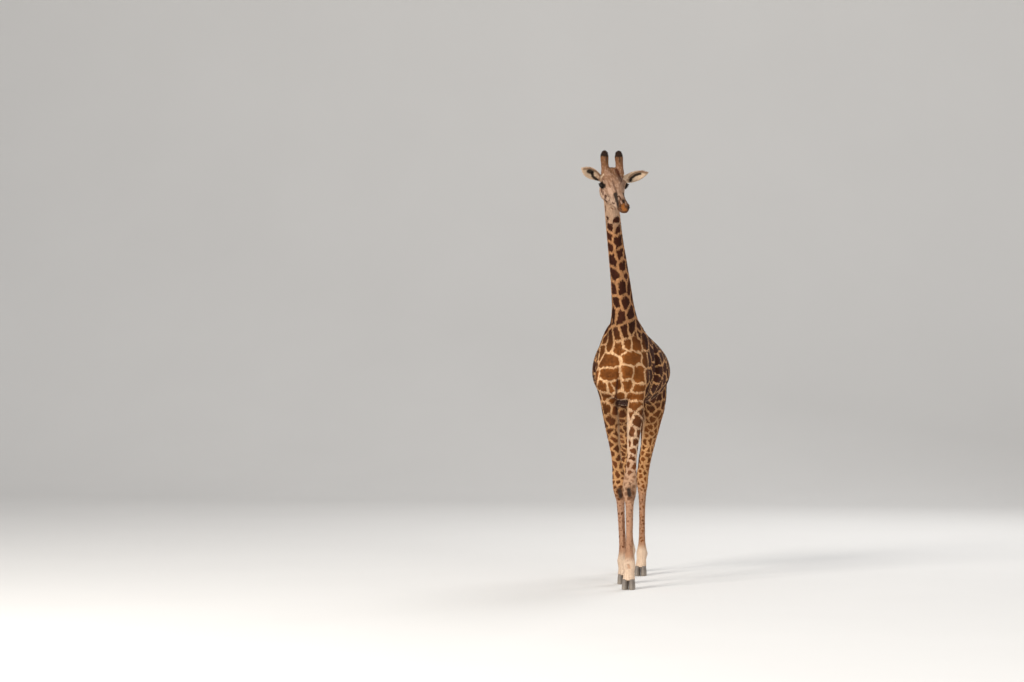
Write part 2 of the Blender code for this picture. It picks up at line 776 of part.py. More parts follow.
def mouth_cutter(solids):
    """A thin curved wedge along the line between the lips, from one corner round to the other."""
    middle = np.array(MOUTH_MIDDLE)
    turns = np.radians(np.linspace(-MOUTH_TURN, MOUTH_TURN, 25))
    ways = np.stack((np.sin(turns), -np.cos(turns), 0 * turns), axis=1)
    matrix = np.array(HEAD_FRAME)
    near = np.full(len(turns), 0.005)
    far = np.full(len(turns), 0.150)
    for _ in range(16):
        reach = (near + far) / 2
        points = (middle + ways * reach[:, None]) @ matrix[:3, :3].T + matrix[:3, 3]
        inside = field(points, solids, []) < 0
        near = np.where(inside, reach, near)
        far = np.where(inside, far, reach)
    mesh = bmesh.new()
    rings = []
    for way, reach in zip(ways, near):
        ring = []
        for out, up in MOUTH_SECTION:
            point = middle + way * (reach + out) + np.array((0, 0, up))
            ring.append(mesh.verts.new(HEAD_FRAME @ Vector(point)))
        rings.append(ring)
    bridge(mesh, rings)
    return mesh_object("mouth", mesh)


def build_head():
    """Skull, ears and horns, parted by thin cuts, with sockets for the eyes."""
    leaves, cups = ear_shapes()
    solids = skull_shapes() + [neck_tube(NECK[-6:])] + horn_shapes() + leaves
    head = blended_skin("whole head", solids, cups + face_hollows(), HEAD_VOXEL, HEAD_TRIANGLES)
    cutters = [box_beyond(NAPE_CUT, -1)]
    (x, y, z), up, size = HORN_CUT
    for side in (1, -1):
        cutters.append(thin_cut("horn_cut", ((side * x, y, z), up, size), HEAD_FRAME))
        out = Vector(EAR_TIPS[side]) - Vector(EAR_ROOTS[side])
        ear = Vector(EAR_ROOTS[side]) + out * (EAR_CUT_OUT / abs(out.x))
        cutters.append(thin_cut("ear_cut", (ear, out, EAR_CUT_SIZE), HEAD_FRAME))
    cutters.append(mouth_cutter(skull_shapes()))
    combine(head, cutters, "DIFFERENCE")
    places = {"head": HEAD_FRAME @ Vector((0, 0, 0))}
    for side, word in ((1, "left"), (-1, "right")):
        top = HORN[-2]
        places["horn_" + word] = HEAD_FRAME @ Vector((side * top[0], top[1], top[2]))
        places["ear_" + word] = HEAD_FRAME @ ((Vector(EAR_ROOTS[side]) + Vector(EAR_TIPS[side])) / 2)
    return name_pieces(head, places)


def ball_object(name, middle, radius):
    mesh = bmesh.new()
    bmesh.ops.create_icosphere(mesh, subdivisions=3, radius=radius, matrix=Matrix.Translation(middle))
    return mesh_object(name, mesh)


def build_eyes(head):
    """Each eye is a ball in a socket that clears it by the gap."""
    eyes = {}
    sockets = []
    for side, word in ((1, "left"), (-1, "right")):
        middle = HEAD_FRAME @ Vector((side * EYE_SIDE, 0.000, 0.000))
        eyes["eye_" + word] = ball_object("eye_" + word, middle, EYE_RADIUS)
        sockets.append(ball_object("socket", middle, EYE_RADIUS + 2 * GAP))
    combine(head, sockets, "DIFFERENCE")
    keep_largest(head)
    return eyes


def hoof_object(name, joints):
    """Two toes side by side that meet along the cleft, flat on the floor."""
    hoof = Vector(joints[-1])
    wide = next(half for word, half in HOOF_HALVES.items() if word in name)
    toes = []
    for side in (1, -1):
        mesh = bmesh.new()
        rings = []
        for z, spread, front, back in TOE:
            ring = []
            for k in range(HOOF_SIDES):
                turn = 2 * math.pi * k / HOOF_SIDES
                deep = front if math.cos(turn) > 0 else back
                x = side * (wide * spread * (0.5 + 0.5 * math.sin(turn)) - CLEFT)
                ring.append(mesh.verts.new((hoof.x + x, hoof.y - 0.004 - deep * math.cos(turn), z)))
            rings.append(ring)
        bridge(mesh, rings)
        toes.append(mesh_object(name, mesh))
    combine(toes[0], [toes[1]], "UNION")
    keep_largest(toes[0])
    toes[0].name = name
    return toes[0]


def blade(line, wide, halves):
    """A flat tapered lock of hair along a line of points, its broad side running the way of wide."""
    mesh = bmesh.new()
    rings = []
    for i, (point, (half, thin)) in enumerate(zip(line, halves)):
        along = (line[min(i + 1, len(line) - 1)] - line[max(i - 1, 0)]).normalized()
        broad = (wide - wide.dot(along) * along).normalized()
        thick = along.cross(broad)
        corners = (broad * half, thick * thin, -broad * half, -thick * thin)
        rings.append([mesh.verts.new(point + corner) for corner in corners])
    bridge(mesh, rings)
    return mesh_object("lock", mesh)


def build_tassel():
    """The hair at the end of the tail: a tapered bundle, and tiers of locks that hang down round it."""
    top = TASSEL_TOP - GAP / 2
    rows = []
    for t, half in TASSEL_CORE:
        rows.append((0, TAIL[-1][0] + 0.01 * t, top - TASSEL_LENGTH * t, half, half * 0.8, half * 0.8))
    mesh = bmesh.new()
    Tube(rows, TAIL_BLEND, steps=2).skin(mesh)
    tassel = mesh_object("tail_tassel", mesh)
    draw = random.Random(5)
    locks = []
    for tier in range(TASSEL_TIERS):
        for k in range(TASSEL_AROUND):
            turn = 2 * math.pi * (k + 0.5 * (tier % 2) + draw.uniform(-0.15, 0.15)) / TASSEL_AROUND
            out = Vector((math.cos(turn), math.sin(turn), 0))
            start = 0.06 + 0.22 * tier + draw.uniform(0, 0.05)
            length = min(draw.uniform(0.40, 0.48), 0.99 - start)
            line = []
            for s in (0, 0.25, 0.5, 0.75, 1):
                t = start + length * s
                radius = np.interp(t, *zip(*TASSEL_PROFILE))
                sunk = radius * (0.55 + 1.3 * s * (1 - s) + 0.1 * s) - 0.010 * (1 - s)
                line.append(Vector((0, TAIL[-1][0] + 0.01 * t, top - TASSEL_LENGTH * t)) + out * sunk)
            locks.append(blade(line, out.cross(Vector((0, 0, 1))), TASSEL_LOCK))
    combine(tassel, locks, "UNION")
    keep_largest(tassel)
    return tassel


def crest_point(tube, spot):
    """Place on the mane side of the neck with its ways up, outward and across, for a spot along it."""
    index = min(int(spot), len(tube.middle) - 2)
    share = spot - index
    values = []
    for field_of in (tube.middle, tube.along, tube.across, tube.depth, tube.halves):
        values.append(field_of[index] * (1 - share) + field_of[index + 1] * share)
    middle, along, across, depth, halves = values
    place = Vector(middle - depth * halves[2])
    return place, Vector(along).normalized(), Vector(-depth).normalized(), Vector(across).normalized()


def build_mane(neck):
    """Upright hair along the back of the neck: a low ridge and overlapping locks, fused to it."""
    tube = neck_tube()
    first, last = 5.0, len(tube.middle) - 4.0
    mesh = bmesh.new()
    rings = []
    for spot in np.linspace(first, last, 24):
        place, _, out, across = crest_point(tube, spot)
        height = 0.5 * MANE_HEIGHT * min(1, 0.2 + (spot - first) / 4)
        edge = list(zip(MANE_RIDGE, (-MANE_ROOT, 0.4 * height, height)))
        ring = [place + across * half + out * reach for half, reach in edge]
        ring += [place - across * half + out * reach for half, reach in reversed(edge)]
        rings.append([mesh.verts.new(point) for point in ring])
    bridge(mesh, rings)
    ridge = mesh_object("mane", mesh)
    draw = random.Random(11)
    locks = []
    for k, spot in enumerate(np.linspace(first + 0.3, last, MANE_LOCKS)):
        place, along, out, across = crest_point(tube, spot)
        height = MANE_HEIGHT * min(1, 0.45 + (spot - first) / 5) * draw.uniform(0.94, 1.06)
        lean = (1 if k % 2 else -1) * draw.uniform(0.03, 0.10)
        line = []
        for s in (0, 0.35, 0.65, 0.87, 1):
            reach = (height + MANE_ROOT) * s - MANE_ROOT
            line.append(place + out * reach - along * 0.020 * s * s + across * lean * reach)
        locks.append(blade(line, along, MANE_LOCK))
    combine(ridge, locks, "UNION")
    combine(ridge, [box_beyond(NAPE_CUT, 1), box_beyond(NECK_CUT, -1)], "DIFFERENCE")
    keep_largest(ridge)
    combine(neck, [ridge], "UNION")
    keep_largest(neck)


def material(name, colour, roughness):
    made = bpy.data.materials.new(name)
    made.use_nodes = True
    shader = made.node_tree.nodes["Principled BSDF"]
    shader.inputs["Base Color"].default_value = (*colour, 1)
    shader.inputs["Roughness"].default_value = roughness
    shader.inputs["Metallic"].default_value = 0.0
    return made


def centre_on_floor(things):
    """Moves everything so that the middle of its footprint is the origin."""
    points = np.array([tuple(v.co) for thing in things for v in thing.data.vertices])
    middle = (points.min(axis=0) + points.max(axis=0)) / 2
    for thing in things:
        thing.location = (-middle[0], -middle[1], -points[:, 2].min())


def main():
    for thing in list(bpy.data.objects):
        bpy.data.objects.remove(thing)
    parts = build_body()
    parts.update(build_head())
    parts.update(build_eyes(parts["head"]))
    build_mane(parts["neck"])
    for name, (_, joints) in LEGS.items():
        hoof = name.replace("leg", "hoof")
        parts[hoof] = hoof_object(hoof, joints)
    parts["tail_tassel"] = build_tassel()
    centre_on_floor(parts.values())
    for name, thing in parts.items():
        kind = next((k for k in COLOURS if name.startswith(k) or k in name), "coat")
        thing.data.materials.clear()
        thing.data.materials.append(material(name, COLOURS[kind], 0.1 if kind == "eye" else 0.8))
        thing.data.shade_smooth()


main()
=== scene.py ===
"""A life-size Masai giraffe as a museum shows it: marked skin, coat, mane, tassel, eyes and hooves.

Metres, Z up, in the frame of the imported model. The giraffe faces -Y and its left side is +X.
"""

import json
import math

import bmesh
import bpy
import numpy as np
from mathutils import Euler, Matrix, Vector, noise
from mathutils.bvhtree import BVHTree
from mathutils.kdtree import KDTree

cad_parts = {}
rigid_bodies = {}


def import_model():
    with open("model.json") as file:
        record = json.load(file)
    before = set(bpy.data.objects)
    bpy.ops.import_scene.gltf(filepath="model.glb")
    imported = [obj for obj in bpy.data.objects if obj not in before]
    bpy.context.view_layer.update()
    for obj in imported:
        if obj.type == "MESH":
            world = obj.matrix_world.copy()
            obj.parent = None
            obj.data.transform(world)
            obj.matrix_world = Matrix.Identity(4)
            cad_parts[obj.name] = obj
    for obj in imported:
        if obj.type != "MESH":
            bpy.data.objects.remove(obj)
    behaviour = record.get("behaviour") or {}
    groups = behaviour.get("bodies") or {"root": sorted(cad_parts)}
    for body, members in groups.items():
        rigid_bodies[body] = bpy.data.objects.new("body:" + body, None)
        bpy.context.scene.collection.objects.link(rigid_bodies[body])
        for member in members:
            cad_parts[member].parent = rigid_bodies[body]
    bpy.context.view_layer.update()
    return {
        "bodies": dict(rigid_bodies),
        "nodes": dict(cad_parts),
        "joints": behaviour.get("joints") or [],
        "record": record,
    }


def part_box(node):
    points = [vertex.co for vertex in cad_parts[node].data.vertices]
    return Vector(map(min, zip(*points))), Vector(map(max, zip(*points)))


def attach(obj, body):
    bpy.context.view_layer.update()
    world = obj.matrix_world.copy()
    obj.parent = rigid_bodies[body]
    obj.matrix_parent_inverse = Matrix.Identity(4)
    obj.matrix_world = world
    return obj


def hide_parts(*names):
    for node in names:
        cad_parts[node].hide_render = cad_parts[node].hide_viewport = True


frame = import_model()

# How deep the skin lies under the tips of the short coat, and how fine it is on body and head
INSET = 0.003
BODY_VOXEL = 0.008
HEAD_VOXEL = 0.003

# Sizes shared with the solids, and the lower end of the skin, inside the hooves
HOOF_TOP = 0.100
SKIN_FLOOR = HOOF_TOP - 0.003
EYE_RADIUS = 0.026
EYE_SIDE = 0.115
EYE_TURN = math.radians(20)
EYE_MIDDLE = (0.008, -0.81, 4.023)
EAR_ROOTS = {1: (0.085, 0.130, -0.022), -1: (-0.085, 0.130, 0.002)}
EAR_TIPS = {1: (0.372, 0.110, 0.092), -1: (-0.311, 0.110, 0.122)}
HEAD_YAW = math.radians(26.5)
HEAD_PITCH = math.radians(28)
MANE_HEIGHT = 0.095
TASSEL_LENGTH = 0.66

# Tufts of the short coat, their length and half width: on the body, the lower legs and the head. Then their
# length on the muzzle, the top of the lower legs, and where the muzzle starts in the head's own frame
BODY_TUFT = (0.019, 0.0023)
SHANK_TUFT = (0.012, 0.0016)
HEAD_TUFT = (0.009, 0.0011)
MUZZLE_TUFT = 0.005
SHANK_TOP = 1.5
MUZZLE_START = -0.36

# How many tufts each piece of the coat has, and how steeply they rise
COAT_COUNTS = {
    "coat_trunk": 22000,
    "coat_neck": 22000,
    "coat_thighs": 18000,
    "coat_front_shanks": 15000,
    "coat_hind_shanks": 15000,
    "coat_head": 21000,
    "coat_ears": 9000,
}
COAT_LIFT = 0.16

# Mane: how many tufts, how many steps from either end of the neck it stops, how far tufts scatter from its
# middle, and how deep they are rooted
MANE_COUNT = 5200
MANE_SPAN = (3.2, 1.5)
MANE_SCATTER = 0.0075
MANE_DEPTH = 0.010

# Other long hair: how many tufts and locks of the tassel, then how many tufts, their length and half width
TASSEL_COUNT = 1100
TASSEL_LOCKS = 26
HORN_TUFTS = (2400, 0.020, 0.0014)
EAR_TUFTS = (1500, 0.026, 0.0011)

# Lashes of the upper and the lower lid: height, how many, length, droop
LASHES = ((0.0175, 90, 0.022, -0.75), (-0.0170, 40, 0.010, 0.1))
LASH_HALF = 0.0008

# Half width of a hoof, then its levels: height, share of its width, reach forward and back
HOOF_WIDTHS = {"front": 0.066, "hind": 0.062}
HOOF_LEVELS = (
    (0.000, 0.93, 0.076, 0.055),
    (0.004, 0.985, 0.0805, 0.0590),
    (0.010, 1.00, 0.082, 0.060),
    (0.030, 0.995, 0.079, 0.061),
    (0.060, 0.97, 0.072, 0.062),
    (0.085, 0.925, 0.064, 0.060),
    (HOOF_TOP - 0.001, 0.90, 0.060, 0.058),
    (HOOF_TOP + 0.004, 0.80, 0.052, 0.050),
)

# Half length and half height of the pupil
PUPIL = (0.0115, 0.0060)

# Wander of the edges of patches and of marks: how fine, how far
PATCH_WANDER = ((9, 0.014), (27, 0.009))
MARK_WANDER = ((60, 0.0045), (150, 0.0022))

# Where a mark fades at its edge, in its half widths, and where the skin faces as the marked place does
MARK_EDGE = (0.6, 1.3)
MARK_FACING = (-0.2, 0.2)

# Patches by place: distance between their middles, and half the width of the lines between them
FLANK_SIZE = (0.122, 0.0085)
NECK_SIZE = (0.125, 0.0140)
CHEST_SIZE = (0.150, 0.0120)
FORELEG_SIZE = (0.082, 0.0125)
THIGH_SIZE = (0.062, 0.0095)
KNEE_SIZE = (0.050, 0.0110)
SHANK_SIZE = (0.030, 0.0118)
HIND_SHANK_SIZE = (0.030, 0.0100)
HEAD_SIZE = (0.044, 0.0130)

# How many seeds are looked at for each point, the depth in a patch where none is of another patch, and how
# much the shade varies from patch to patch
NEAR_SEEDS = 12
PATCH_DEPTH = 0.03
PATCH_SHADE = (0.75, 1.25)

# Patches that the photograph doesn't show: how many places are tried, and how near they may be as a share
SEED_TRIES = 60000
SEED_SHARE = 0.86

# Flat layout of the skin: its cells, the margin in a cell, and half the width of a tuft's own place
LAYOUT_COLUMNS = 4
LAYOUT_ROWS = 3
LAYOUT_MARGIN = 0.06
LAYOUT_HALF = 0.0015

# The stage: half width of the floor, its near end, then start, radius of the bend and top of the backdrop
FLOOR_HALF = 60
FLOOR_NEAR = -45
BACKDROP_START = 13
BACKDROP_BEND = 9
BACKDROP_TOP = 45

# Lamps: place, size, power, colour. They point at the middle of the giraffe. Then the colour and strength of
# the light from all round
LAMPS = {
    "key": ((-9, -14, 11), 6.0, 3200, (1.0, 0.96, 0.90)),
    "fill": ((11, -12, 7), 8.0, 600, (1.0, 0.99, 0.97)),
    "back": ((4, 9, 10), 6.0, 700, (1.0, 1.0, 1.0)),
}
LAMP_AIM = (0, 0, 2.2)
SKY_COLOUR = (0.88, 0.88, 0.89, 1)
SKY_LIGHT = 0.50

# How widely the surfaces of each part of the body run into their neighbours
TRUNK_BLEND = 0.06
LEG_BLEND = 0.05
NECK_BLEND = 0.07
TAIL_BLEND = 0.02
SKULL_BLEND = 0.045
HORN_BLEND = 0.02
EAR_BLEND = 0.02
FINE_BLEND = 0.006

# The photograph in pixels: its middle line, horizon, lens, width and height. Then the camera that took it:
# its turn, its place, and the width of its sensor in millimetres
PHOTO_MIDDLE = 512
PHOTO_HORIZON = 345
PHOTO_LENS = 2492
PHOTO_WIDTH = 1024
PHOTO_HEIGHT = 682
CAMERA_TURN = math.radians(10)
CAMERA_PLACE = (3.279, -25.113, 2.45)
SENSOR = 36

# Trunk from chest to rump: y, height of its widest level, half width, up, down
TRUNK = (
    (-0.20, 2.23, 0.175, 0.26, 0.22),
    (-0.12, 2.21, 0.228, 0.38, 0.26),
    (-0.02, 2.20, 0.262, 0.47, 0.28),
    (0.10, 2.18, 0.300, 0.52, 0.31),
    (0.32, 2.17, 0.360, 0.46, 0.34),
    (0.55, 2.17, 0.395, 0.40, 0.35),
    (0.78, 2.17, 0.388, 0.35, 0.31),
    (0.97, 2.16, 0.348, 0.31, 0.24),
    (1.15, 2.15, 0.295, 0.27, 0.20),
    (1.27, 2.13, 0.232, 0.21, 0.20),
    (1.33, 2.12, 0.180, 0.16, 0.18),
)

# Neck from the trunk to the skull: x, y, z, half width, throat side, mane side
NECK = (
    (0.010, 0.03, 2.36, 0.220, 0.30, 0.31),
    (0.018, -0.05, 2.55, 0.180, 0.27, 0.26),
    (0.020, -0.12, 2.70, 0.132, 0.24, 0.22),
    (0.018, -0.19, 2.85, 0.107, 0.21, 0.19),
    (0.012, -0.25, 2.99, 0.099, 0.185, 0.17),
    (0.004, -0.31, 3.13, 0.091, 0.163, 0.155),
    (-0.007, -0.37, 3.28, 0.085, 0.146, 0.140),
    (-0.018, -0.43, 3.42, 0.079, 0.130, 0.126),
    (-0.027, -0.49, 3.56, 0.075, 0.116, 0.114),
    (-0.034, -0.555, 3.71, 0.073, 0.106, 0.104),
    (-0.040, -0.605, 3.83, 0.070, 0.100, 0.096),
    (-0.045, -0.65, 3.94, 0.068, 0.092, 0.100),
    (-0.048, -0.69, 4.03, 0.062, 0.080, 0.098),
)

# Head in its own frame, muzzle to nape: y, height of its widest level, half width, up, down
HEAD = (
    (-0.425, -0.064, 0.036, 0.034, 0.034),
    (-0.395, -0.062, 0.052, 0.050, 0.046),
    (-0.340, -0.058, 0.054, 0.054, 0.052),
    (-0.270, -0.050, 0.052, 0.053, 0.058),
    (-0.190, -0.036, 0.060, 0.058, 0.072),
    (-0.110, -0.018, 0.083, 0.070, 0.092),
    (-0.040, -0.004, 0.106, 0.084, 0.110),
    (0.030, 0.006, 0.109, 0.092, 0.118),
    (0.100, 0.006, 0.096, 0.076, 0.104),
    (0.150, 0.000, 0.077, 0.056, 0.078),
    (0.185, -0.004, 0.055, 0.040, 0.056),
)

# Lower jaw, chin to angle: y, z, half width, up, down
JAW = (
    (-0.385, -0.100, 0.026, 0.016, 0.016),
    (-0.330, -0.106, 0.034, 0.022, 0.022),
    (-0.220, -0.114, 0.040, 0.030, 0.030),
    (-0.100, -0.122, 0.056, 0.040, 0.040),
    (0.020, -0.128, 0.076, 0.050, 0.048),
    (0.095, -0.116, 0.074, 0.050, 0.046),
)

# Eyelids: height of the arch over the middle of the eye, thickness with the depth of the skin. Then their
# blend, and how far they and the lashes are from the ball of the eye
LIDS = ((0.0200, 0.0085), (-0.0190, 0.0085))
LID_BLEND = 0.005
LID_GAP = 0.002
LASH_GAP = 0.006

# A nostril: middle, half sizes, blend, turn in degrees
NOSTRIL = ((0.047, -0.408, -0.040), (0.010, 0.019, 0.006), FINE_BLEND, (-35, 0, 14))

# The line between the lips: middle of its turn, how far round it goes each way, nearest and farthest reach,
# half width and half depth, blend
MOUTH_MIDDLE = (0, -0.360, -0.088)
MOUTH_TURN = 155
MOUTH_REACH = (0.005, 0.150)
MOUTH_HALF = (0.0032, 0.0050)
MOUTH_BLEND = 0.003

# Balls that fill out the skull on each side: middle, half sizes, blend
CHEEK = ((0.066, 0.045, -0.080), (0.040, 0.085, 0.080), 0.04)
ORBIT = ((0.101, 0.008, 0.002), (0.025, 0.042, 0.038), 0.02)
BROW = ((0.097, 0.000, 0.033), (0.028, 0.044, 0.014), 0.02)
HORN_BASE = ((0.064, 0.080, 0.092), (0.044, 0.052, 0.052), 0.04)
NOSTRIL_RIM = ((0.034, -0.400, -0.044), (0.020, 0.034, 0.018), 0.02)

# Balls in the middle of the skull: forehead, crown between the horns, chin
FOREHEAD = ((0, -0.03, 0.072), (0.055, 0.085, 0.030), 0.05)
CROWN = ((0, 0.105, 0.100), (0.055, 0.050, 0.040), 0.04)
CHIN = ((0, -0.405, -0.082), (0.044, 0.038, 0.024), 0.02)

# Horns from the skull up: distance from the middle, y, z, half width
HORN = (
    (0.072, 0.075, 0.080, 0.046),
    (0.074, 0.112, 0.128, 0.041),
    (0.076, 0.148, 0.174, 0.039),
    (0.075, 0.178, 0.212, 0.042),
    (0.073, 0.198, 0.242, 0.032),
)

# Leaf of an ear and the cup in it: share of its length, half width, half depth behind and in front
EAR_LEAF = (
    (0.00, 0.028, 0.024, 0.024),
    (0.18, 0.040, 0.022, 0.018),
    (0.40, 0.055, 0.020, 0.013),
    (0.62, 0.058, 0.017, 0.010),
    (0.82, 0.042, 0.012, 0.008),
    (0.95, 0.019, 0.007, 0.006),
    (1.00, 0.007, 0.005, 0.005),
)
EAR_CUP = (
    (0.00, 0.016, 0.010, 0.020),
    (0.30, 0.038, 0.016, 0.030),
    (0.60, 0.044, 0.015, 0.030),
    (0.85, 0.030, 0.010, 0.025),
    (1.00, 0.010, 0.006, 0.020),
)

# The share of an ear's length that its cup takes up, and how far the cup is moved forward
CUP_START = 0.26
CUP_END = 0.88
CUP_FORWARD = 0.010

# The breast: middle, half sizes, blend
BREAST = ((0, -0.14, 2.08), (0.14, 0.12, 0.18), 0.10)

# Hollows of the body, with a turn in degrees: cleft of the breast, dip behind each shoulder
BREAST_CLEFT = ((0.002, -0.30, 2.13), (0.012, 0.060, 0.24), 0.05, (-8, 0, 0))
SHOULDER_DIP = ((0.300, 0.20, 2.20), (0.020, 0.030, 0.30), 0.06, (-14, 0, 0))

# Muscles on each side of the trunk: middle, half sizes, blend, turn in degrees
MUSCLES = (
    ((0.145, -0.02, 2.36), (0.080, 0.14, 0.32), 0.10, (-24, -8, 0)),
    ((0.165, -0.10, 2.07), (0.090, 0.14, 0.14), 0.08, (25, 0, 0)),
    ((0.160, 0.04, 2.03), (0.080, 0.14, 0.17), 0.08, (0, 0, 0)),
    ((0.145, 1.14, 2.14), (0.148, 0.20, 0.22), 0.10, (0, 0, 0)),
    ((0.185, 0.96, 2.34), (0.055, 0.09, 0.06), 0.09, (0, 0, 0)),
    ((0.180, 0.95, 1.93), (0.070, 0.12, 0.13), 0.10, (0, 0, 0)),
)

# Leg sections: place along the joints 0 to 4, half width, half depth behind, half depth in front
FRONT_LEG = (
    (0.00, 0.085, 0.140, 0.140),
    (0.50, 0.088, 0.135, 0.140),
    (1.00, 0.085, 0.115, 0.115),
    (1.20, 0.079, 0.096, 0.094),
    (1.45, 0.061, 0.076, 0.072),
    (1.67, 0.050, 0.060, 0.056),
    (1.84, 0.061, 0.056, 0.060),
    (1.95, 0.072, 0.058, 0.074),
    (2.05, 0.070, 0.056, 0.076),
    (2.13, 0.058, 0.050, 0.062),
    (2.22, 0.043, 0.044, 0.047),
    (2.45, 0.0375, 0.042, 0.042),
    (2.75, 0.037, 0.043, 0.041),
    (2.90, 0.046, 0.056, 0.046),
    (3.00, 0.064, 0.066, 0.056),
    (3.35, 0.056, 0.054, 0.056),
    (3.70, 0.062, 0.066, 0.070),
    (4.00, 0.064, 0.068, 0.074),
)
HIND_LEG = (
    (0.00, 0.142, 0.230, 0.240),
    (0.45, 0.144, 0.200, 0.250),
    (0.80, 0.128, 0.160, 0.225),
    (1.00, 0.104, 0.132, 0.185),
    (1.20, 0.091, 0.108, 0.140),
    (1.45, 0.077, 0.088, 0.100),
    (1.70, 0.065, 0.072, 0.072),
    (1.85, 0.062, 0.072, 0.060),
    (2.00, 0.066, 0.080, 0.057),
    (2.12, 0.059, 0.055, 0.055),
    (2.25, 0.043, 0.046, 0.046),
    (2.45, 0.034, 0.042, 0.041),
    (2.75, 0.034, 0.043, 0.041),
    (2.90, 0.042, 0.054, 0.045),
    (3.00, 0.059, 0.063, 0.054),
    (3.35, 0.052, 0.052, 0.054),
    (3.70, 0.058, 0.062, 0.066),
    (4.00, 0.060, 0.064, 0.070),
)

# Balls at the joints of the legs: offset from the joint, half sizes, blend, turn in degrees
ELBOW = ((0, 0.07, 0.04), (0.045, 0.06, 0.08), 0.06, (0, 0, 0))
HEEL = ((0, 0.060, 0.075), (0.026, 0.030, 0.085), 0.04, (12, 0, 0))
STIFLE = ((0, -0.08, 0.03), (0.075, 0.09, 0.12), 0.08, (0, 0, 0))
DEWCLAW = ((0.030, 0.045, -0.01), (0.022, 0.022, 0.030), 0.03, (0, 0, 0))

# Joints of each leg: shoulder or hip, elbow or stifle, knee or hock, fetlock, hoof
LEGS = {
    "leg_front_left": (FRONT_LEG, (
        (0.15, -0.03, 2.15), (0.135, -0.05, 1.88), (0.09, -0.215, 1.01),
        (0.094, -0.27, 0.24), (0.09, -0.29, 0.05),
    )),
    "leg_front_right": (FRONT_LEG, (
        (-0.15, -0.02, 2.15), (-0.15, 0.02, 1.88), (-0.061, 0.18, 1.01),
        (-0.036, 0.27, 0.24), (-0.030, 0.28, 0.05),
    )),
    "leg_hind_left": (HIND_LEG, (
        (0.155, 1.13, 2.16), (0.176, 1.16, 1.76), (0.03, 1.33, 1.06),
        (0.035, 1.24, 0.24), (0.026, 1.215, 0.05),
    )),
    "leg_hind_right": (HIND_LEG, (
        (-0.14, 1.13, 2.16), (-0.156, 1.2, 1.76), (-0.14, 1.45, 1.08),
        (-0.13, 1.53, 0.25), (-0.13, 1.525, 0.05),
    )),
}

# Sides of the body
SIDES = ((1, "left"), (-1, "right"))

# Dock of the tail: y, z, half width, half depth
TAIL = (
    (1.32, 2.27, 0.050, 0.055),
    (1.42, 2.25, 0.044, 0.045),
    (1.50, 2.15, 0.034, 0.035),
    (1.54, 1.98, 0.027, 0.028),
    (1.56, 1.78, 0.022, 0.023),
    (1.565, 1.55, 0.018, 0.018),
    (1.560, 1.36, 0.015, 0.015),
)

# Tassel at the end of the tail: share of its length, radius
TASSEL_PROFILE = ((0, 0.022), (0.25, 0.042), (0.55, 0.050), (0.85, 0.034), (1, 0.010))

# Patches that the photograph shows on the neck, in its pixels: x and y of one point, or of both ends
NECK_PATCHES = (
    (608, 218), (610, 227), (609, 236), (610, 246), (612, 258, 612, 262), (612, 271, 614.5, 275),
    (613.5, 286, 614, 291), (615.5, 299, 616, 304), (619.5, 315, 619.5, 319), (614, 309, 614, 317),
    (616.2, 219.6), (617.5, 228.7), (618.5, 238, 619, 244), (620.6, 251, 620.6, 255.5),
    (622.7, 264, 623, 268.5), (625.8, 276.5), (622.3, 283, 622.3, 291), (629, 283, 629, 289),
    (626, 300, 626.3, 305), (630, 311, 631, 316), (632, 323, 631.5, 328), (637.5, 316, 637.8, 323),
    (642.8, 322, 642.8, 329), (645.2, 335, 645.2, 341), (650, 335, 650, 340.5), (604.6, 219), (637, 335),
)

# The same on chest and flank
CHEST_PATCHES = (
    (602.7, 334), (610.3, 334, 610.5, 345), (617.5, 332, 617.8, 337), (619.5, 345, 619.6, 350),
    (624.2, 329, 624.2, 333), (625.8, 344), (636.5, 335, 636, 345), (605, 360, 613, 360),
    (627, 358, 637, 358), (606, 374, 614, 374), (627, 372), (639, 370, 639.5, 378), (603.5, 387),
    (611, 387.4), (617, 385.5), (626.5, 386), (639, 388.7), (606, 396.3), (612.4, 399),
    (633, 397.7, 637, 397.7), (602, 351), (597, 363), (657, 346.6), (651.6, 352), (655.5, 360),
    (654.2, 371), (659.6, 371), (657.7, 379), (648.5, 387), (654.8, 388), (655.5, 395),
)

# The same on the forelegs and the left hind leg
LEG_PATCHES = (
    (633, 405.7, 637, 405.7), (637, 417.5, 640, 421), (641, 413), (631.5, 415), (631.8, 433),
    (638.9, 433.8), (629.2, 442), (634.8, 442.5), (633.8, 452), (632.2, 457.6), (634.2, 466.6),
    (628.8, 464.6), (630.5, 473), (634.2, 476.7), (626, 478), (644.3, 417, 644.3, 422), (606.7, 408.4),
    (610, 421), (605.4, 423.8), (610, 431), (616, 433.8), (614.4, 438.5), (616, 449.2), (617.8, 457.2),
    (613, 454), (615.4, 464), (620.8, 466), (616.8, 475.3), (618, 482.7), (659.6, 397.7), (658.3, 405),
    (651.6, 409), (657, 413.7), (652.2, 419.8), (651, 426), (646.2, 435.2), (652.2, 433.2), (656, 430),
    (655.5, 424), (650, 441), (654, 441), (649, 450), (652, 449), (648, 455), (644, 459.5), (648.2, 465),
    (645, 473), (642, 480.5), (648, 478.7), (643, 487), (647, 489),
)

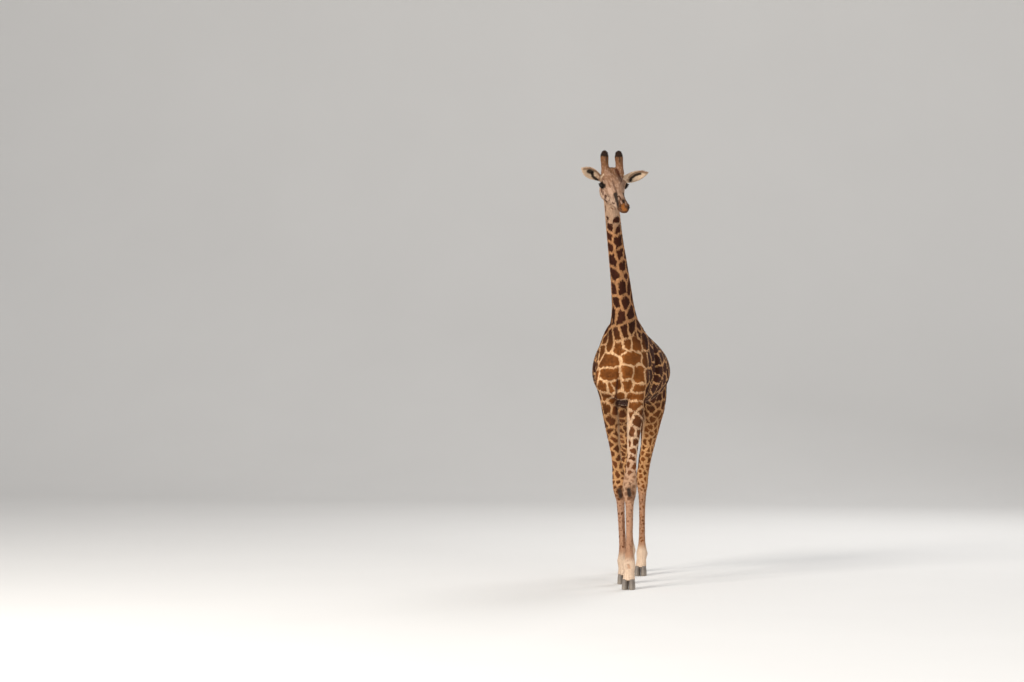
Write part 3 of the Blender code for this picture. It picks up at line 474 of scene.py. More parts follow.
# Colours, linear red, green and blue
TAN = (0.52, 0.255, 0.110)
CREAM = (0.74, 0.455, 0.240)
PALE = (0.80, 0.62, 0.46)
INNER_LEG = (0.68, 0.450, 0.280)
FLANK = (0.57, 0.300, 0.125)
SHANK = (0.46, 0.250, 0.150)
HIND_SHANK = (0.43, 0.225, 0.125)
CHOCOLATE = (0.066, 0.018, 0.008)
RUST = (0.250, 0.078, 0.014)
UMBER = (0.058, 0.016, 0.007)
LEG_PATCH = (0.150, 0.048, 0.015)
FACE = (0.385, 0.232, 0.150)
FACE_PALE = (0.60, 0.400, 0.290)
FOREHEAD_BROWN = (0.20, 0.085, 0.038)
CROWN_BROWN = (0.25, 0.120, 0.060)
JAW_PALE = (0.56, 0.400, 0.290)
MUZZLE = (0.120, 0.052, 0.024)
LIP = (0.27, 0.095, 0.022)
BLACK = (0.012, 0.008, 0.006)
GREY = (0.030, 0.020, 0.016)
HORN_BROWN = (0.18, 0.080, 0.035)
EAR_PALE = (0.74, 0.55, 0.38)
MANE = (0.150, 0.060, 0.024)
PATCH_CENTRE = (0.025, 0.008, 0.004)
PUPIL_BLACK = (0.002, 0.002, 0.003)
IRIS_DARK = (0.022, 0.010, 0.005)
IRIS_PALE = (0.060, 0.028, 0.013)
IRIS_RIM = (0.012, 0.008, 0.006)
HOOF_DARK = (0.11, 0.090, 0.075)
HOOF_PALE = (0.28, 0.235, 0.195)
DUST = (0.36, 0.30, 0.24)
FLOOR_DARK = (0.74, 0.73, 0.715)
FLOOR_PALE = (0.77, 0.76, 0.745)

# Marks on the face: x and y of one point after another in pixels of the photograph, half width, colour,
# strength, on both sides or not
FACE_MARKS = (
    ((616.8, 171, 619, 176, 620.3, 180.5), 0.026, UMBER, 0.6, False),
    ((606, 172, 611, 175), 0.022, FACE_PALE, 0.25, False),
    ((609.5, 190, 611.5, 195), 0.032, FACE_PALE, 0.8, True),
    ((604.5, 192, 606, 200), 0.020, FACE_PALE, 0.6, True),
    ((616.3, 169.5, 618.2, 173, 620.2, 177.5, 621.9, 181), 0.012, CHOCOLATE, 0.85, False),
    ((612.6, 181.5, 614.3, 186.5, 616.3, 191, 616.4, 195), 0.010, UMBER, 0.6, False),
    ((608.5, 184, 610.5, 187.5), 0.009, FOREHEAD_BROWN, 0.5, True),
    ((599.5, 180.8, 603.6, 174.7), 0.008, EAR_PALE, 0.9, True),
    ((601.8, 188.5, 601.8, 192), 0.014, CHOCOLATE, 0.85, True),
    ((603.4, 192, 603.1, 194.5), 0.012, CHOCOLATE, 0.8, True),
    ((606, 196, 606, 201), 0.016, CHOCOLATE, 0.9, True),
    ((607.9, 194.3, 608.6, 197), 0.008, UMBER, 0.8, True),
    ((609.8, 196, 609.3, 200.5, 611.5, 204, 614.5, 204, 616, 200.5), 0.007, UMBER, 0.7, True),
    ((611.8, 197, 612, 201.5), 0.008, FACE_PALE, 0.8, True),
    ((613.2, 197.5, 614, 200.5), 0.007, UMBER, 0.6, True),
    ((607.8, 203.4, 609.6, 204.4), 0.006, CHOCOLATE, 0.6, True),
    ((612.4, 202.8, 614, 203.6), 0.009, CHOCOLATE, 0.8, True),
    # Painted shadow: a dark reddish line on the throat just under the jaw
    ((610.7, 207.6, 613, 208.9, 615.8, 208), 0.007, LEG_PATCH, 0.8, False),
    ((615.4, 194.5, 616.4, 199, 618.2, 206), 0.023, GREY, 0.95, True),
    ((628.2, 200.5, 628.9, 208), 0.020, GREY, 0.95, False),
    ((624.9, 195, 625.9, 200.8), 0.010, UMBER, 0.9, False),
    ((622.5, 206, 623.4, 209.5, 625.8, 209.8), 0.016, LIP, 0.9, False),
    ((623.7, 204, 624, 207), 0.010, LIP, 0.6, False),
    ((625.2, 205, 627, 209), 0.006, UMBER, 0.5, False),
    ((620.4, 205, 621.4, 209.5), 0.007, UMBER, 0.5, False),
    ((617.6, 197.2, 619, 196, 621, 199.5), 0.008, UMBER, 0.9, False),
    # Painted highlight: a pale spot on the rim of a nostril
    ((618.8, 199), 0.008, FACE_PALE, 0.6, False),
    ((621, 201, 621.6, 203.6), 0.008, FACE_PALE, 0.5, False),
    ((625.6, 202, 626, 205), 0.008, FACE_PALE, 0.35, False),
    ((623.4, 200.4, 623.7, 202.6), 0.010, BLACK, 0.9, False),
    ((602.3, 185.3, 604.6, 186), 0.022, BLACK, 0.95, False),
    ((628.6, 183, 627, 187), 0.012, BLACK, 0.9, False),
    ((600.3, 182.2, 603.5, 181.2), 0.006, FACE_PALE, 0.8, False),
)

# Rims, roots and dark bands of the ears, in the same way
EAR_MARKS = (
    ((584.5, 169.2, 590, 168.6, 596.5, 172, 600, 175.5), 0.012, CROWN_BROWN, 0.75, False),
    ((646, 172.8, 640, 171.6, 634, 173.2, 629, 177), 0.011, CROWN_BROWN, 0.75, False),
    ((597.5, 178, 600.5, 181), 0.022, CROWN_BROWN, 0.6, False),
    ((628.5, 180, 630.5, 178), 0.020, CROWN_BROWN, 0.6, False),
    ((588.8, 171, 592, 172.3), 0.024, BLACK, 0.95, False),
    ((592, 172.5, 593.2, 177, 597.4, 180), 0.015, BLACK, 0.95, False),
    ((639.8, 173.6, 634.5, 175.4, 631.3, 178, 629.8, 181), 0.016, BLACK, 0.95, False),
)

# Marks on breast, throat and legs, in the same way
BODY_MARKS = (
    # Painted shade: the next four marks lay soft dark brown under the breast, between the forelegs
    ((618, 401, 626, 401.5), 0.060, UMBER, 0.9, False),
    ((619, 404.5), 0.060, UMBER, 0.85, False),
    ((622, 404), 0.060, UMBER, 0.85, False),
    ((625.5, 404.5), 0.060, UMBER, 0.85, False),
    ((605.4, 205.5, 605.8, 210.5), 0.010, CHOCOLATE, 0.85, False),
    # Painted shade: a dark line down the cleft of the breast, between the tops of the forelegs
    ((617.3, 380, 616.4, 388, 616.2, 398, 616.6, 408), 0.014, CHOCOLATE, 0.9, False),
    ((630.5, 490, 632.5, 497.5), 0.048, LEG_PATCH, 0.5, False),
    ((628.8, 489.5, 629.4, 495), 0.021, GREY, 0.95, False),
    ((619.8, 490, 620.5, 497), 0.040, LEG_PATCH, 0.6, False),
    ((619.6, 489.5, 620.6, 496.5), 0.022, GREY, 0.85, False),
    # Painted shade: a dark brown band down the inner side of the right foreleg's cannon, the side away from
    # the light
    ((622.8, 512, 623.6, 530, 624, 547), 0.011, LEG_PATCH, 0.6, False),
    ((628.3, 565, 629.2, 567), 0.016, SHANK, 0.8, False),
)


def unit(v):
    return v / np.maximum(np.linalg.norm(v, axis=-1, keepdims=True), 1e-12)


def beside(v, way):
    """The way of v, turned to be at right angles to another."""
    return unit(v - (v * way).sum(axis=-1, keepdims=True) * way)


def head_frame():
    """The matrices of the body's design frame and of the head's own, found from where the left eye is."""
    turn = Euler((HEAD_PITCH, 0, HEAD_YAW), "XYZ").to_matrix().to_4x4()
    head = Matrix.Translation(EYE_MIDDLE) @ turn
    low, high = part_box("eye_left")
    body = Matrix.Translation((low + high) / 2 - head @ Vector((EYE_SIDE, 0, 0)))
    return body, body @ head


BODY_FRAME, HEAD_FRAME = head_frame()


def carried(points, frame):
    """Points given in a frame of their own, in that of the model."""
    matrix = np.array(frame)
    return points @ matrix[:3, :3].T + matrix[:3, 3]


def spline(rows, steps):
    """Points of a smooth curve through the rows, a few steps between each two."""
    rows = np.array(rows, float)
    padded = np.vstack((2 * rows[0] - rows[1], rows, 2 * rows[-1] - rows[-2]))
    points = []
    for i in range(len(rows) - 1):
        a, b, c, d = padded[i:i + 4]
        for t in np.arange(steps) / steps:
            bend = (2 * a - 5 * b + 4 * c - d) * t * t + (3 * b - 3 * c + d - a) * t ** 3
            points.append(b + 0.5 * ((c - a) * t + bend))
    points.append(rows[-1])
    return np.array(points)


class Tube:
    """A tapered tube along a curve. A row is x, y, z, half width, and half depth to either side."""

    def __init__(self, rows, blend, side=(1, 0, 0), frame=BODY_FRAME, steps=4):
        rows = spline(rows, steps)
        self.middle = carried(rows[:, :3], frame)
        self.halves = rows[:, 3:6]
        self.along = unit(np.gradient(self.middle, axis=0))
        side = np.array(frame.to_3x3() @ Vector(side))
        self.across = unit(side - (self.along @ side)[:, None] * self.along)
        self.depth = np.cross(self.across, self.along)
        self.blend = blend
        reach = self.halves.max() + blend
        self.low = self.middle.min(axis=0) - reach
        self.high = self.middle.max(axis=0) + reach

    def locate(self, points):
        """Place along the tube in steps, offsets across, in depth and along, and the half sizes there."""
        start = self.middle[:-1]
        step = np.diff(self.middle, axis=0)
        length = (step * step).sum(axis=1)
        reach = points @ step.T - (start * step).sum(axis=1)
        t = np.clip(reach / length, 0, 1)
        square = (points ** 2).sum(axis=1)[:, None] - 2 * points @ start.T + (start ** 2).sum(axis=1)
        nearest = np.argmin(square - 2 * t * reach + t * t * length, axis=1)
        t = t[np.arange(len(points)), nearest][:, None]

        def between(values):
            return values[nearest] * (1 - t) + values[nearest + 1] * t

        offset = points - between(self.middle)
        ways = [unit(between(values)) for values in (self.across, self.depth, self.along)]
        across, depth, along = [(offset * way).sum(axis=1) for way in ways]
        return nearest + t[:, 0], across, depth, along, between(self.halves), ways[2]

    def away(self, located):
        """About how far located points are from the tube's surface, less than zero inside."""
        _, across, depth, along, halves, _ = located
        half_depth = np.where(depth > 0, halves[:, 1], halves[:, 2])
        return ellipse_distance((across, depth, along), (halves[:, 0], half_depth, halves.min(axis=1)))

    def distance(self, points):
        return self.away(self.locate(points))

    def skin(self, mesh):
        """Adds the tube to the mesh as rings of 16 points, closed at both ends."""
        turns = np.linspace(0, 2 * math.pi, 16, endpoint=False)
        rings = []
        for i, middle in enumerate(self.middle):
            ring = []
            for turn in turns:
                half_depth = self.halves[i, 1] if math.sin(turn) > 0 else self.halves[i, 2]
                point = middle + self.across[i] * self.halves[i, 0] * math.cos(turn)
                ring.append(mesh.verts.new(point + self.depth[i] * half_depth * math.sin(turn)))
            rings.append(ring)
        bridge(mesh, rings)


class Ball:
    """An ellipsoid with half sizes along its own axes, which may be turned."""

    def __init__(self, middle, halves, blend, turn=(0, 0, 0), frame=BODY_FRAME):
        turned = frame.to_3x3() @ Euler([math.radians(a) for a in turn], "XYZ").to_matrix()
        self.axes = np.array(turned)
        self.middle = np.array(frame @ Vector(middle))
        self.halves = np.array(halves)
        self.blend = blend
        reach = max(halves) + blend
        self.low = self.middle - reach
        self.high = self.middle + reach

    def distance(self, points):
        offset = (points - self.middle) @ self.axes
        return ellipse_distance(offset.T, self.halves)

    def skin(self, mesh):
        place = Matrix.Translation(self.middle) @ Matrix(self.axes).to_4x4()
        scale = Matrix.Diagonal((*self.halves, 1))
        bmesh.ops.create_uvsphere(mesh, u_segments=16, v_segments=10, radius=1, matrix=place @ scale)


def ellipse_distance(offset, halves):
    """First estimate of the distance to an ellipsoid from offsets along its axes."""
    radius = np.sqrt(sum((o / h) ** 2 for o, h in zip(offset, halves)))
    slope = np.sqrt(sum((o / h ** 2) ** 2 for o, h in zip(offset, halves)))
    return (radius - 1) * radius / np.maximum(slope, 1e-9)


def smooth_min(a, b, width):
    share = np.clip(0.5 + 0.5 * (b - a) / width, 0, 1)
    return b + (a - b) * share - width * share * (1 - share)


def within(points, low, high):
    """Which points lie in a box."""
    return np.all((points > low) & (points < high), axis=1)


def field(points, solids, hollows, chunk=20000):
    """Distance to the blended surface of the solids with the hollows taken out."""
    out = np.full(len(points), 0.5)
    for first in range(0, len(points), chunk):
        part = points[first:first + chunk]
        value = out[first:first + chunk]
        for shape, sign in [(s, 1) for s in solids] + [(h, -1) for h in hollows]:
            near = within(part, shape.low, shape.high)
            if near.any():
                away = shape.distance(part[near])
                value[near] = sign * smooth_min(sign * value[near], away, shape.blend)
    return out


def side_ball(side, middle, halves, blend, turn=(0, 0, 0), frame=BODY_FRAME):
    """A ball given for the left side, and its mirror image when the side is -1."""
    x, y, z = middle
    nod, lean, swing = turn
    return Ball((side * x, y, z), halves, blend, (nod, side * lean, side * swing), frame)


def trunk_tube():
    return Tube([(0, y, z, half, up, down) for y, z, half, up, down in TRUNK], TRUNK_BLEND)


def trunk_shapes():
    """Chest, ribs, belly and rump, with the shoulder and hip muscles on each side."""
    shapes = [trunk_tube(), Ball(*BREAST)]
    for side, _ in SIDES:
        shapes += [side_ball(side, *muscle) for muscle in MUSCLES]
    return shapes


def leg_tube(name):
    """One leg as a tube through its joints, from inside the trunk to below the top of the hoof."""
    sections, joints = LEGS[name]
    joints = np.array(joints)
    rows = []
    for place, half, behind, front in sections:
        joint = min(int(place), len(joints) - 2)
        middle = joints[joint] + (joints[joint + 1] - joints[joint]) * (place - joint)
        rows.append((*middle, half, behind, front))
    return Tube(rows, LEG_BLEND, steps=3)


def joint_ball(joint, ball, side=1):
    """A ball beside a joint, to its right when the side is -1."""
    (x, y, z), halves, blend, turn = ball
    return Ball(joint + Vector((side * x, y, z)), halves, blend, turn=turn)


def leg_shapes():
    shapes = [leg_tube(name) for name in LEGS]
    for name, (_, joints) in LEGS.items():
        _, bend, middle, fetlock, _ = (Vector(j) for j in joints)
        if "front" in name:
            shapes.append(joint_ball(bend, ELBOW))
        else:
            shapes.append(joint_ball(middle, HEEL))
            shapes.append(joint_ball(bend, STIFLE))
        shapes += [joint_ball(fetlock, DEWCLAW, side) for side, _ in SIDES]
    return shapes


def neck_tube(rows=NECK):
    return Tube(rows, NECK_BLEND, steps=3)


def tail_tube():
    return Tube([(0, y, z, half, deep, deep) for y, z, half, deep in TAIL], TAIL_BLEND)


def head_tube(rows=HEAD):
    return Tube([(0, *row) for row in rows], SKULL_BLEND, frame=HEAD_FRAME)


def lid_line(side, rise, count, radius):
    """Points over the ball of the eye from its front corner to its back one, in the head's frame."""
    points = []
    for t in np.linspace(-1, 1, count):
        back = EYE_RADIUS * t
        z = rise * (1 - t * t)
        out = math.sqrt(radius ** 2 - back ** 2 - z ** 2)
        x = out * math.cos(EYE_TURN) + back * math.sin(EYE_TURN)
        y = back * math.cos(EYE_TURN) - out * math.sin(EYE_TURN)
        points.append((side * (EYE_SIDE + x), y, z))
    return points


def lid(side, rise, thick):
    """An eyelid, arched over the ball of the eye from one corner to the other."""
    rows = [(*point, thick, thick, thick) for point in lid_line(side, rise, 9, EYE_RADIUS + LID_GAP)]
    return Tube(rows, LID_BLEND, side=(0, 0, 1), frame=HEAD_FRAME, steps=2)


def skull_shapes():
    """Skull, jaw, cheeks, brows, muzzle and lids, in the head's own frame."""
    shapes = [head_tube(), head_tube(JAW)]
    for middle, halves, blend in (FOREHEAD, CROWN, CHIN):
        shapes.append(Ball(middle, halves, blend, frame=HEAD_FRAME))
    for side, _ in SIDES:
        for ball in (CHEEK, ORBIT, BROW, HORN_BASE, NOSTRIL_RIM):
            shapes.append(side_ball(side, *ball, frame=HEAD_FRAME))
        shapes += [lid(side, *row) for row in LIDS]
    return shapes


def horn_tube(side):
    rows = [(side * x, y, z, half, half, half) for x, y, z, half in HORN]
    return Tube(rows, HORN_BLEND, frame=HEAD_FRAME)


def ear_tube(side, sections, blend, start=0, end=1, forward=0):
    """A tube along an ear from one share of its length to another, moved forward by a distance."""
    root = np.array(EAR_ROOTS[side])
    tip = np.array(EAR_TIPS[side])
    rows = []
    for t, half, behind, front in sections:
        place = root + (tip - root) * (start + (end - start) * t)
        rows.append((place[0], place[1] - forward, place[2], half, behind, front))
    return Tube(rows, blend, side=(0, 0, side), frame=HEAD_FRAME)


def mouth_tube(solids):
    """The line between the lips, round the front of the muzzle from one corner to the other."""
    middle = np.array(MOUTH_MIDDLE)
    turns = np.radians(np.linspace(-MOUTH_TURN, MOUTH_TURN, 41))
    ways = np.stack((np.sin(turns), -np.cos(turns), 0 * turns), axis=1)
    near, far = (np.full(len(turns), reach) for reach in MOUTH_REACH)
    for _ in range(16):
        reach = (near + far) / 2
        inside = field(carried(middle + ways * reach[:, None], HEAD_FRAME), solids, []) < 0
        near = np.where(inside, reach, near)
        far = np.where(inside, far, reach)
    wide, deep = MOUTH_HALF
    rows = [(*(middle + way * reach), wide, deep, deep) for way, reach in zip(ways, near)]
    return Tube(rows, MOUTH_BLEND, side=(0, 0, 1), frame=HEAD_FRAME, steps=1)


def head_hollows(solids):
    """Cups of the ears, nostrils, sockets of the eyes and the line of the mouth."""
    hollows = [mouth_tube(solids)]
    socket = EYE_RADIUS - INSET + 0.0005
    for side, _ in SIDES:
        hollows.append(ear_tube(side, EAR_CUP, FINE_BLEND, CUP_START, CUP_END, CUP_FORWARD))
        hollows.append(side_ball(side, *NOSTRIL, frame=HEAD_FRAME))
        hollows.append(Ball((side * EYE_SIDE, 0, 0), (socket, socket, socket), 0.003, frame=HEAD_FRAME))
    return hollows


def body_hollows():
    """Cleft of the breast, and the dips behind the shoulders."""
    return [Ball(*BREAST_CLEFT)] + [side_ball(side, *SHOULDER_DIP) for side, _ in SIDES]


def new_object(name, mesh):
    thing = bpy.data.objects.new(name, mesh)
    bpy.context.scene.collection.objects.link(thing)
    return thing


def finished(mesh, name):
    """A smooth object made of a bmesh, which is freed."""
    data = bpy.data.meshes.new(name)
    mesh.to_mesh(data)
    mesh.free()
    data.shade_smooth()
    return new_object(name, data)


def bridge(mesh, rings):
    """Faces between each two rings of points, and a cap at both ends."""
    for a, b in zip(rings, rings[1:]):
        for k in range(len(a)):
            mesh.faces.new((a[k - 1], a[k], b[k], b[k - 1]))
    mesh.faces.new(rings[0])
    mesh.faces.new(rings[-1][::-1])


def remesh(thing, voxel):
    """One even closed surface round all that the object's mesh encloses."""
    cover = thing.modifiers.new("remesh", "REMESH")
    cover.mode = "VOXEL"
    cover.voxel_size = voxel
    graph = bpy.context.evaluated_depsgraph_get()
    mesh = bpy.data.meshes.new_from_object(thing.evaluated_get(graph))
    old = thing.data
    thing.modifiers.clear()
    thing.data = mesh
    bpy.data.meshes.remove(old)


def fetched(items, name, width, kind):
    """One property of all of a mesh's points, edges or triangles, as rows."""
    values = np.empty(len(items) * width, kind)
    items.foreach_get(name, values)
    return values.reshape(-1, width)


def vertex_values(mesh, name):
    return fetched(mesh.vertices, name, 3, np.float32).astype(float)


def move_points(mesh, points):
    mesh.vertices.foreach_set("co", points.astype(np.float32).ravel())
    mesh.update()


def evened(values, ends, rounds, share=0.5):
    """The values after a few rounds of moving each towards the mean of its neighbours."""
    first, second = ends
    count = len(values)
    links = np.bincount(first, minlength=count) + np.bincount(second, minlength=count)
    values = values.copy()
    for _ in range(rounds):
        for k in range(values.shape[1]):
            column = values[:, k]
            total = np.bincount(first, column[second], count) + np.bincount(second, column[first], count)
            values[:, k] += share * (total / links - column)
    return values


def settle(mesh, solids, hollows, rounds, limit):
    """Evens the points out and moves them just under the surface, by at most the limit a round."""
    ends = fetched(mesh.edges, "vertices", 2, np.int32).T
    points = vertex_values(mesh, "co")
    for turn in range(rounds):
        if turn < rounds - 2:
            points = evened(points, ends, 1)
        move_points(mesh, points)
        away = np.clip(field(points, solids, hollows) + INSET, -limit, limit)
        points -= away[:, None] * vertex_values(mesh, "normal")
    move_points(mesh, points)


def blended_skin(name, solids, hollows, voxel):
    """One closed even surface round all the solids, with the hollows taken out after it has settled."""
    mesh = bmesh.new()
    for shape in solids:
        shape.skin(mesh)
    thing = finished(mesh, name)
    remesh(thing, voxel)
    settle(thing.data, solids, [], 6, 0.03)
    settle(thing.data, solids, hollows, 8, 0.004)
    remesh(thing, voxel)
    settle(thing.data, solids, hollows, 2, voxel / 3)
    return thing


# Where the finely made head and the body are joined, a little below the skull
JOIN = ((-0.041, -0.600, 3.840), (0, -0.50, 0.87))
JOIN_GAP = 0.005


def cut(mesh, place, normal, upper):
    """Keeps what lies above a plane, or else below it."""
    everything = mesh.verts[:] + mesh.edges[:] + mesh.faces[:]
    bmesh.ops.bisect_plane(
        mesh, geom=everything, plane_co=place, plane_no=normal, clear_outer=not upper, clear_inner=upper
    )


def kept_side(thing, place, normal, upper):
    """The object's mesh on one side of a plane, as a bmesh. The object is removed."""
    mesh = bmesh.new()
    mesh.from_mesh(thing.data)
    cut(mesh, place, normal, upper)
    bpy.data.objects.remove(thing)
    return mesh


def build_skin():
    """One closed skin over body, neck, legs, tail and head, finer on the head."""
    skull = skull_shapes()
    solids = trunk_shapes() + [neck_tube()] + leg_shapes() + skull + [tail_tube()]
    body = blended_skin("body", solids, body_hollows(), BODY_VOXEL)
    horns_and_ears = []
    for side, _ in SIDES:
        horns_and_ears += [horn_tube(side), ear_tube(side, EAR_LEAF, EAR_BLEND)]
    solids = skull + [neck_tube(NECK[-6:])] + horns_and_ears
    head = blended_skin("head", solids, head_hollows(skull), HEAD_VOXEL)
    normal = Vector(JOIN[1]).normalized()
    place = BODY_FRAME @ Vector(JOIN[0])
    mesh = kept_side(body, place, normal, False)
    cut(mesh, (0, 0, SKIN_FLOOR), (0, 0, 1), True)
    bmesh.ops.holes_fill(mesh, edges=[e for e in mesh.edges if e.is_boundary and e.verts[0].co.z < 1])
    upper = kept_side(head, place + normal * JOIN_GAP, normal, True)
    spare = bpy.data.meshes.new("spare")
    upper.to_mesh(spare)
    upper.free()
    mesh.from_mesh(spare)
    bpy.data.meshes.remove(spare)
    bmesh.ops.bridge_loops(mesh, edges=[e for e in mesh.edges if e.is_boundary])
    bmesh.ops.recalc_face_normals(mesh, faces=mesh.faces)
    return finished(mesh, "skin")


def ramp(values, low, high):
    """Smoothly from 0 at low to 1 at high."""
    t = np.clip((values - low) / (high - low), 0, 1)
    return t * t * (3 - 2 * t)


def mixed(colours, new, share):
    return colours + (np.array(new) - colours) * share[:, None]


def line_distance(points, line):
    """Distance of each point from a line of one or more places."""
    least = np.linalg.norm(points - line[0], axis=1)
    for a, b in zip(line, line[1:]):
        t = np.clip((points - a) @ (b - a) / max(((b - a) ** 2).sum(), 1e-12), 0, 1)
        least = np.minimum(least, np.linalg.norm(points - a - t[:, None] * (b - a), axis=1))
    return least


def region_tubes():
    """The tubes that the skin is divided among, for the lie of its hair and its unwrap."""
    tubes = {"trunk": trunk_tube(), "neck": neck_tube(), "head": head_tube(), "tail": tail_tube()}
    tubes.update((name, leg_tube(name)) for name in LEGS)
    for side, word in SIDES:
        tubes["horn_" + word] = horn_tube(side)
        tubes["ear_" + word] = ear_tube(side, EAR_LEAF, EAR_BLEND)
    return tubes


class Coat:
    """What the skin carries at each of its points: region, lie of the hair, unwrap and markings."""

    def __init__(self, thing):
        mesh = thing.data
        self.points = vertex_values(mesh, "co")
        self.normals = vertex_values(mesh, "normal")
        self.ends = fetched(mesh.edges, "vertices", 2, np.int32).T
        self.tree = BVHTree.FromObject(thing, bpy.context.evaluated_depsgraph_get())
        self.tubes = region_tubes()
        self.names = list(self.tubes)
        self.turned = np.array(HEAD_FRAME.to_3x3())
        self.local = self.in_head(self.points)
        self.facing = self.normals @ self.turned
        self.design = self.points - np.array(BODY_FRAME.translation)
        self.uneven = self.local
        for fine, far in MARK_WANDER:
            wander = [noise.noise_vector(Vector(p) * fine) for p in self.local]
            self.uneven = self.uneven + np.array(wander) * far
        self.divide()
        self.mark()

    def in_head(self, points):
        return (points - np.array(HEAD_FRAME.translation)) @ self.turned

    def eye_gap(self):
        """Distance of each point from the middle of the eye on its side of the head."""
        one_side = self.local * (0, 1, 1) + np.abs(self.local) * (1, 0, 0)
        return np.linalg.norm(one_side - (EYE_SIDE, 0, 0), axis=1)

    def seen(self, pixels):
        """Places on the skin that the photograph shows at these pixels, and the ways out of it there."""
        eye = BODY_FRAME @ Vector(CAMERA_PLACE)
        right = Vector((math.cos(CAMERA_TURN), math.sin(CAMERA_TURN), 0))
        ahead = Vector((-math.sin(CAMERA_TURN), math.cos(CAMERA_TURN), 0))
        places = []
        ways = []
        for x, y in np.array(pixels, float).reshape(-1, 2):
            way = ahead * PHOTO_LENS + right * (x - PHOTO_MIDDLE) - Vector((0, 0, y - PHOTO_HORIZON))
            hit, out = self.tree.ray_cast(eye, way.normalized())[:2]
            if hit:
                places.append(tuple(hit))
                ways.append(tuple(out))
        return np.array(places), np.array(ways)

    def divide(self):
        """Gives each point its nearest region, its place in it and the way that its hair lies."""
        count = len(self.points)
        best = np.full(count, 1e9)
        self.region = np.zeros(count, int)
        self.place = np.zeros(count)
        self.turn = np.zeros(count)
        self.lie = np.zeros((count, 3))
        self.across = np.zeros(count)
        self.deep = np.zeros(count)
        for index, (name, tube) in enumerate(self.tubes.items()):
            near = np.where(within(self.points, tube.low, tube.high))[0]
            located = tube.locate(self.points[near])
            place, across, depth, _, _, way = located
            away = tube.away(located)
            closer = away < best[near]
            near = near[closer]
            best[near] = away[closer]
            self.region[near] = index
            self.place[near] = (place / (len(tube.middle) - 1))[closer]
            self.turn[near] = np.arctan2(depth, across)[closer] / (2 * math.pi) + 0.5
            self.across[near] = across[closer]
            self.deep[near] = depth[closer]
            self.lie[near] = way[closer] * (-1 if name == "neck" else 1)
        trunk = self.region == self.names.index("trunk")
        self.lie[trunk] += np.array((0, 0.1, -0.55))
        self.lie = unit(evened(self.lie, self.ends, 30))

    def at(self, *names):
        """Which points lie in a region whose name starts with one of these."""
        wanted = [k for k, name in enumerate(self.names) if name.startswith(names)]
        return np.isin(self.region, wanted)

    def sizes(self):
        """Distance between the middles of patches, and half the width of the lines between them."""
        _, y, z = self.design.T
        both = np.tile(FLANK_SIZE, (len(z), 1))
        both = mixed(both, NECK_SIZE, ramp(z, 2.40, 2.75))
        both = mixed(both, CHEST_SIZE, ramp(-y, 0.02, 0.14) * (1 - ramp(z, 2.35, 2.70)))
        hind = np.array(self.at("leg_hind"), float)
        both = mixed(both, FORELEG_SIZE, (1 - ramp(z, 1.50, 1.90)) * (1 - hind))
        both = mixed(both, THIGH_SIZE, (1 - ramp(z, 1.55, 1.95)) * hind)
        both = mixed(both, KNEE_SIZE, 1 - ramp(z, 1.00, 1.30))
        both = mixed(both, SHANK_SIZE, 1 - ramp(z, 0.80, 0.95))
        both = mixed(both, HIND_SHANK_SIZE, (1 - ramp(z, 0.80, 0.95)) * hind)
        both[self.at("head", "ear", "horn")] = HEAD_SIZE
        both = evened(both, self.ends, 12)
        return both[:, 0], both[:, 1]

    def seeds(self, spacing):
        """Middles of the patches with the number of the patch: those in the photograph, then others."""
        found = []
        owners = []
        for number, pixels in enumerate(NECK_PATCHES + CHEST_PATCHES + LEG_PATCHES):
            places = self.seen(pixels)[0]
            if len(places) > 1:
                steps = np.linspace(0, 1, 4)[:, None]
                places = places[0] * (1 - steps) + places[-1] * steps
            found.extend(places)
            owners.extend([number] * len(places))
        found = np.array(found)
        order = np.random.default_rng(7).permutation(len(self.points))[:SEED_TRIES]
        for index in order:
            gap = np.sqrt(((found - self.points[index]) ** 2).sum(axis=1).min())
            if gap > spacing[index] * SEED_SHARE:
                found = np.vstack((found, self.points[index]))
                owners.append(owners[-1] + 1)
        return found, owners

    def mark(self):
        """Works out the colour between the patches, that of the patches, and the depth inside a patch."""
        spacing, line = self.sizes()
        seeds, owners = self.seeds(spacing)
        tree = KDTree(len(seeds))
        for index, seed in enumerate(seeds):
            tree.insert(seed, index)
        tree.balance()
        inside = np.zeros(len(self.points))
        owner = np.zeros(len(self.points), int)
        (slow, wide), (quick, narrow) = PATCH_WANDER
        for index, point in enumerate(self.points):
            spot = Vector(point)
            spot += noise.noise_vector(spot * slow) * wide + noise.noise_vector(spot * quick) * narrow
            near = tree.find_n(spot, NEAR_SEEDS)
            first, own, least = near[0]
            own = owners[own]
            owner[index] = own
            edges = [(far * far - least * least) / (2 * (other - first).length)
                     for other, number, far in near[1:] if owners[number] != own]
            inside[index] = min(edges, default=PATCH_DEPTH)
        self.patch = inside - line
        shade = np.random.default_rng(3).uniform(*PATCH_SHADE, owners[-1] + 1)[owner]
        self.colour(shade)

    def colour(self, shade):
        """Colours ground and patches by place: z is height, -y how far ahead, nx, ny, nz the way out."""
        _, y, z = self.design.T
        nx, ny, nz = self.normals.T
        ground = np.tile(FLANK, (len(z), 1))
        # Patches of the flank are dark brown, partly their own colour and partly painted shade of the sides
        # turned from the light
        spot = np.tile(UMBER, (len(z), 1))
        # Chest, then neck, then legs
        front = ramp(-y, -0.02, 0.12) * (1 - ramp(z, 2.40, 2.70)) * ramp(-ny, 0.1, 0.6)
        ground = mixed(ground, CREAM, front)
        spot = mixed(spot, RUST, front)
        neck = ramp(z, 2.40, 2.80)
        ground = mixed(ground, TAN, neck)
        spot = mixed(spot, CHOCOLATE, neck)
        leg = 1 - ramp(z, 1.60, 1.95)
        left_front = self.at("leg_front_left")
        ground = mixed(ground, np.where(left_front[:, None], INNER_LEG, FLANK), leg)
        spot = mixed(spot, LEG_PATCH, leg)
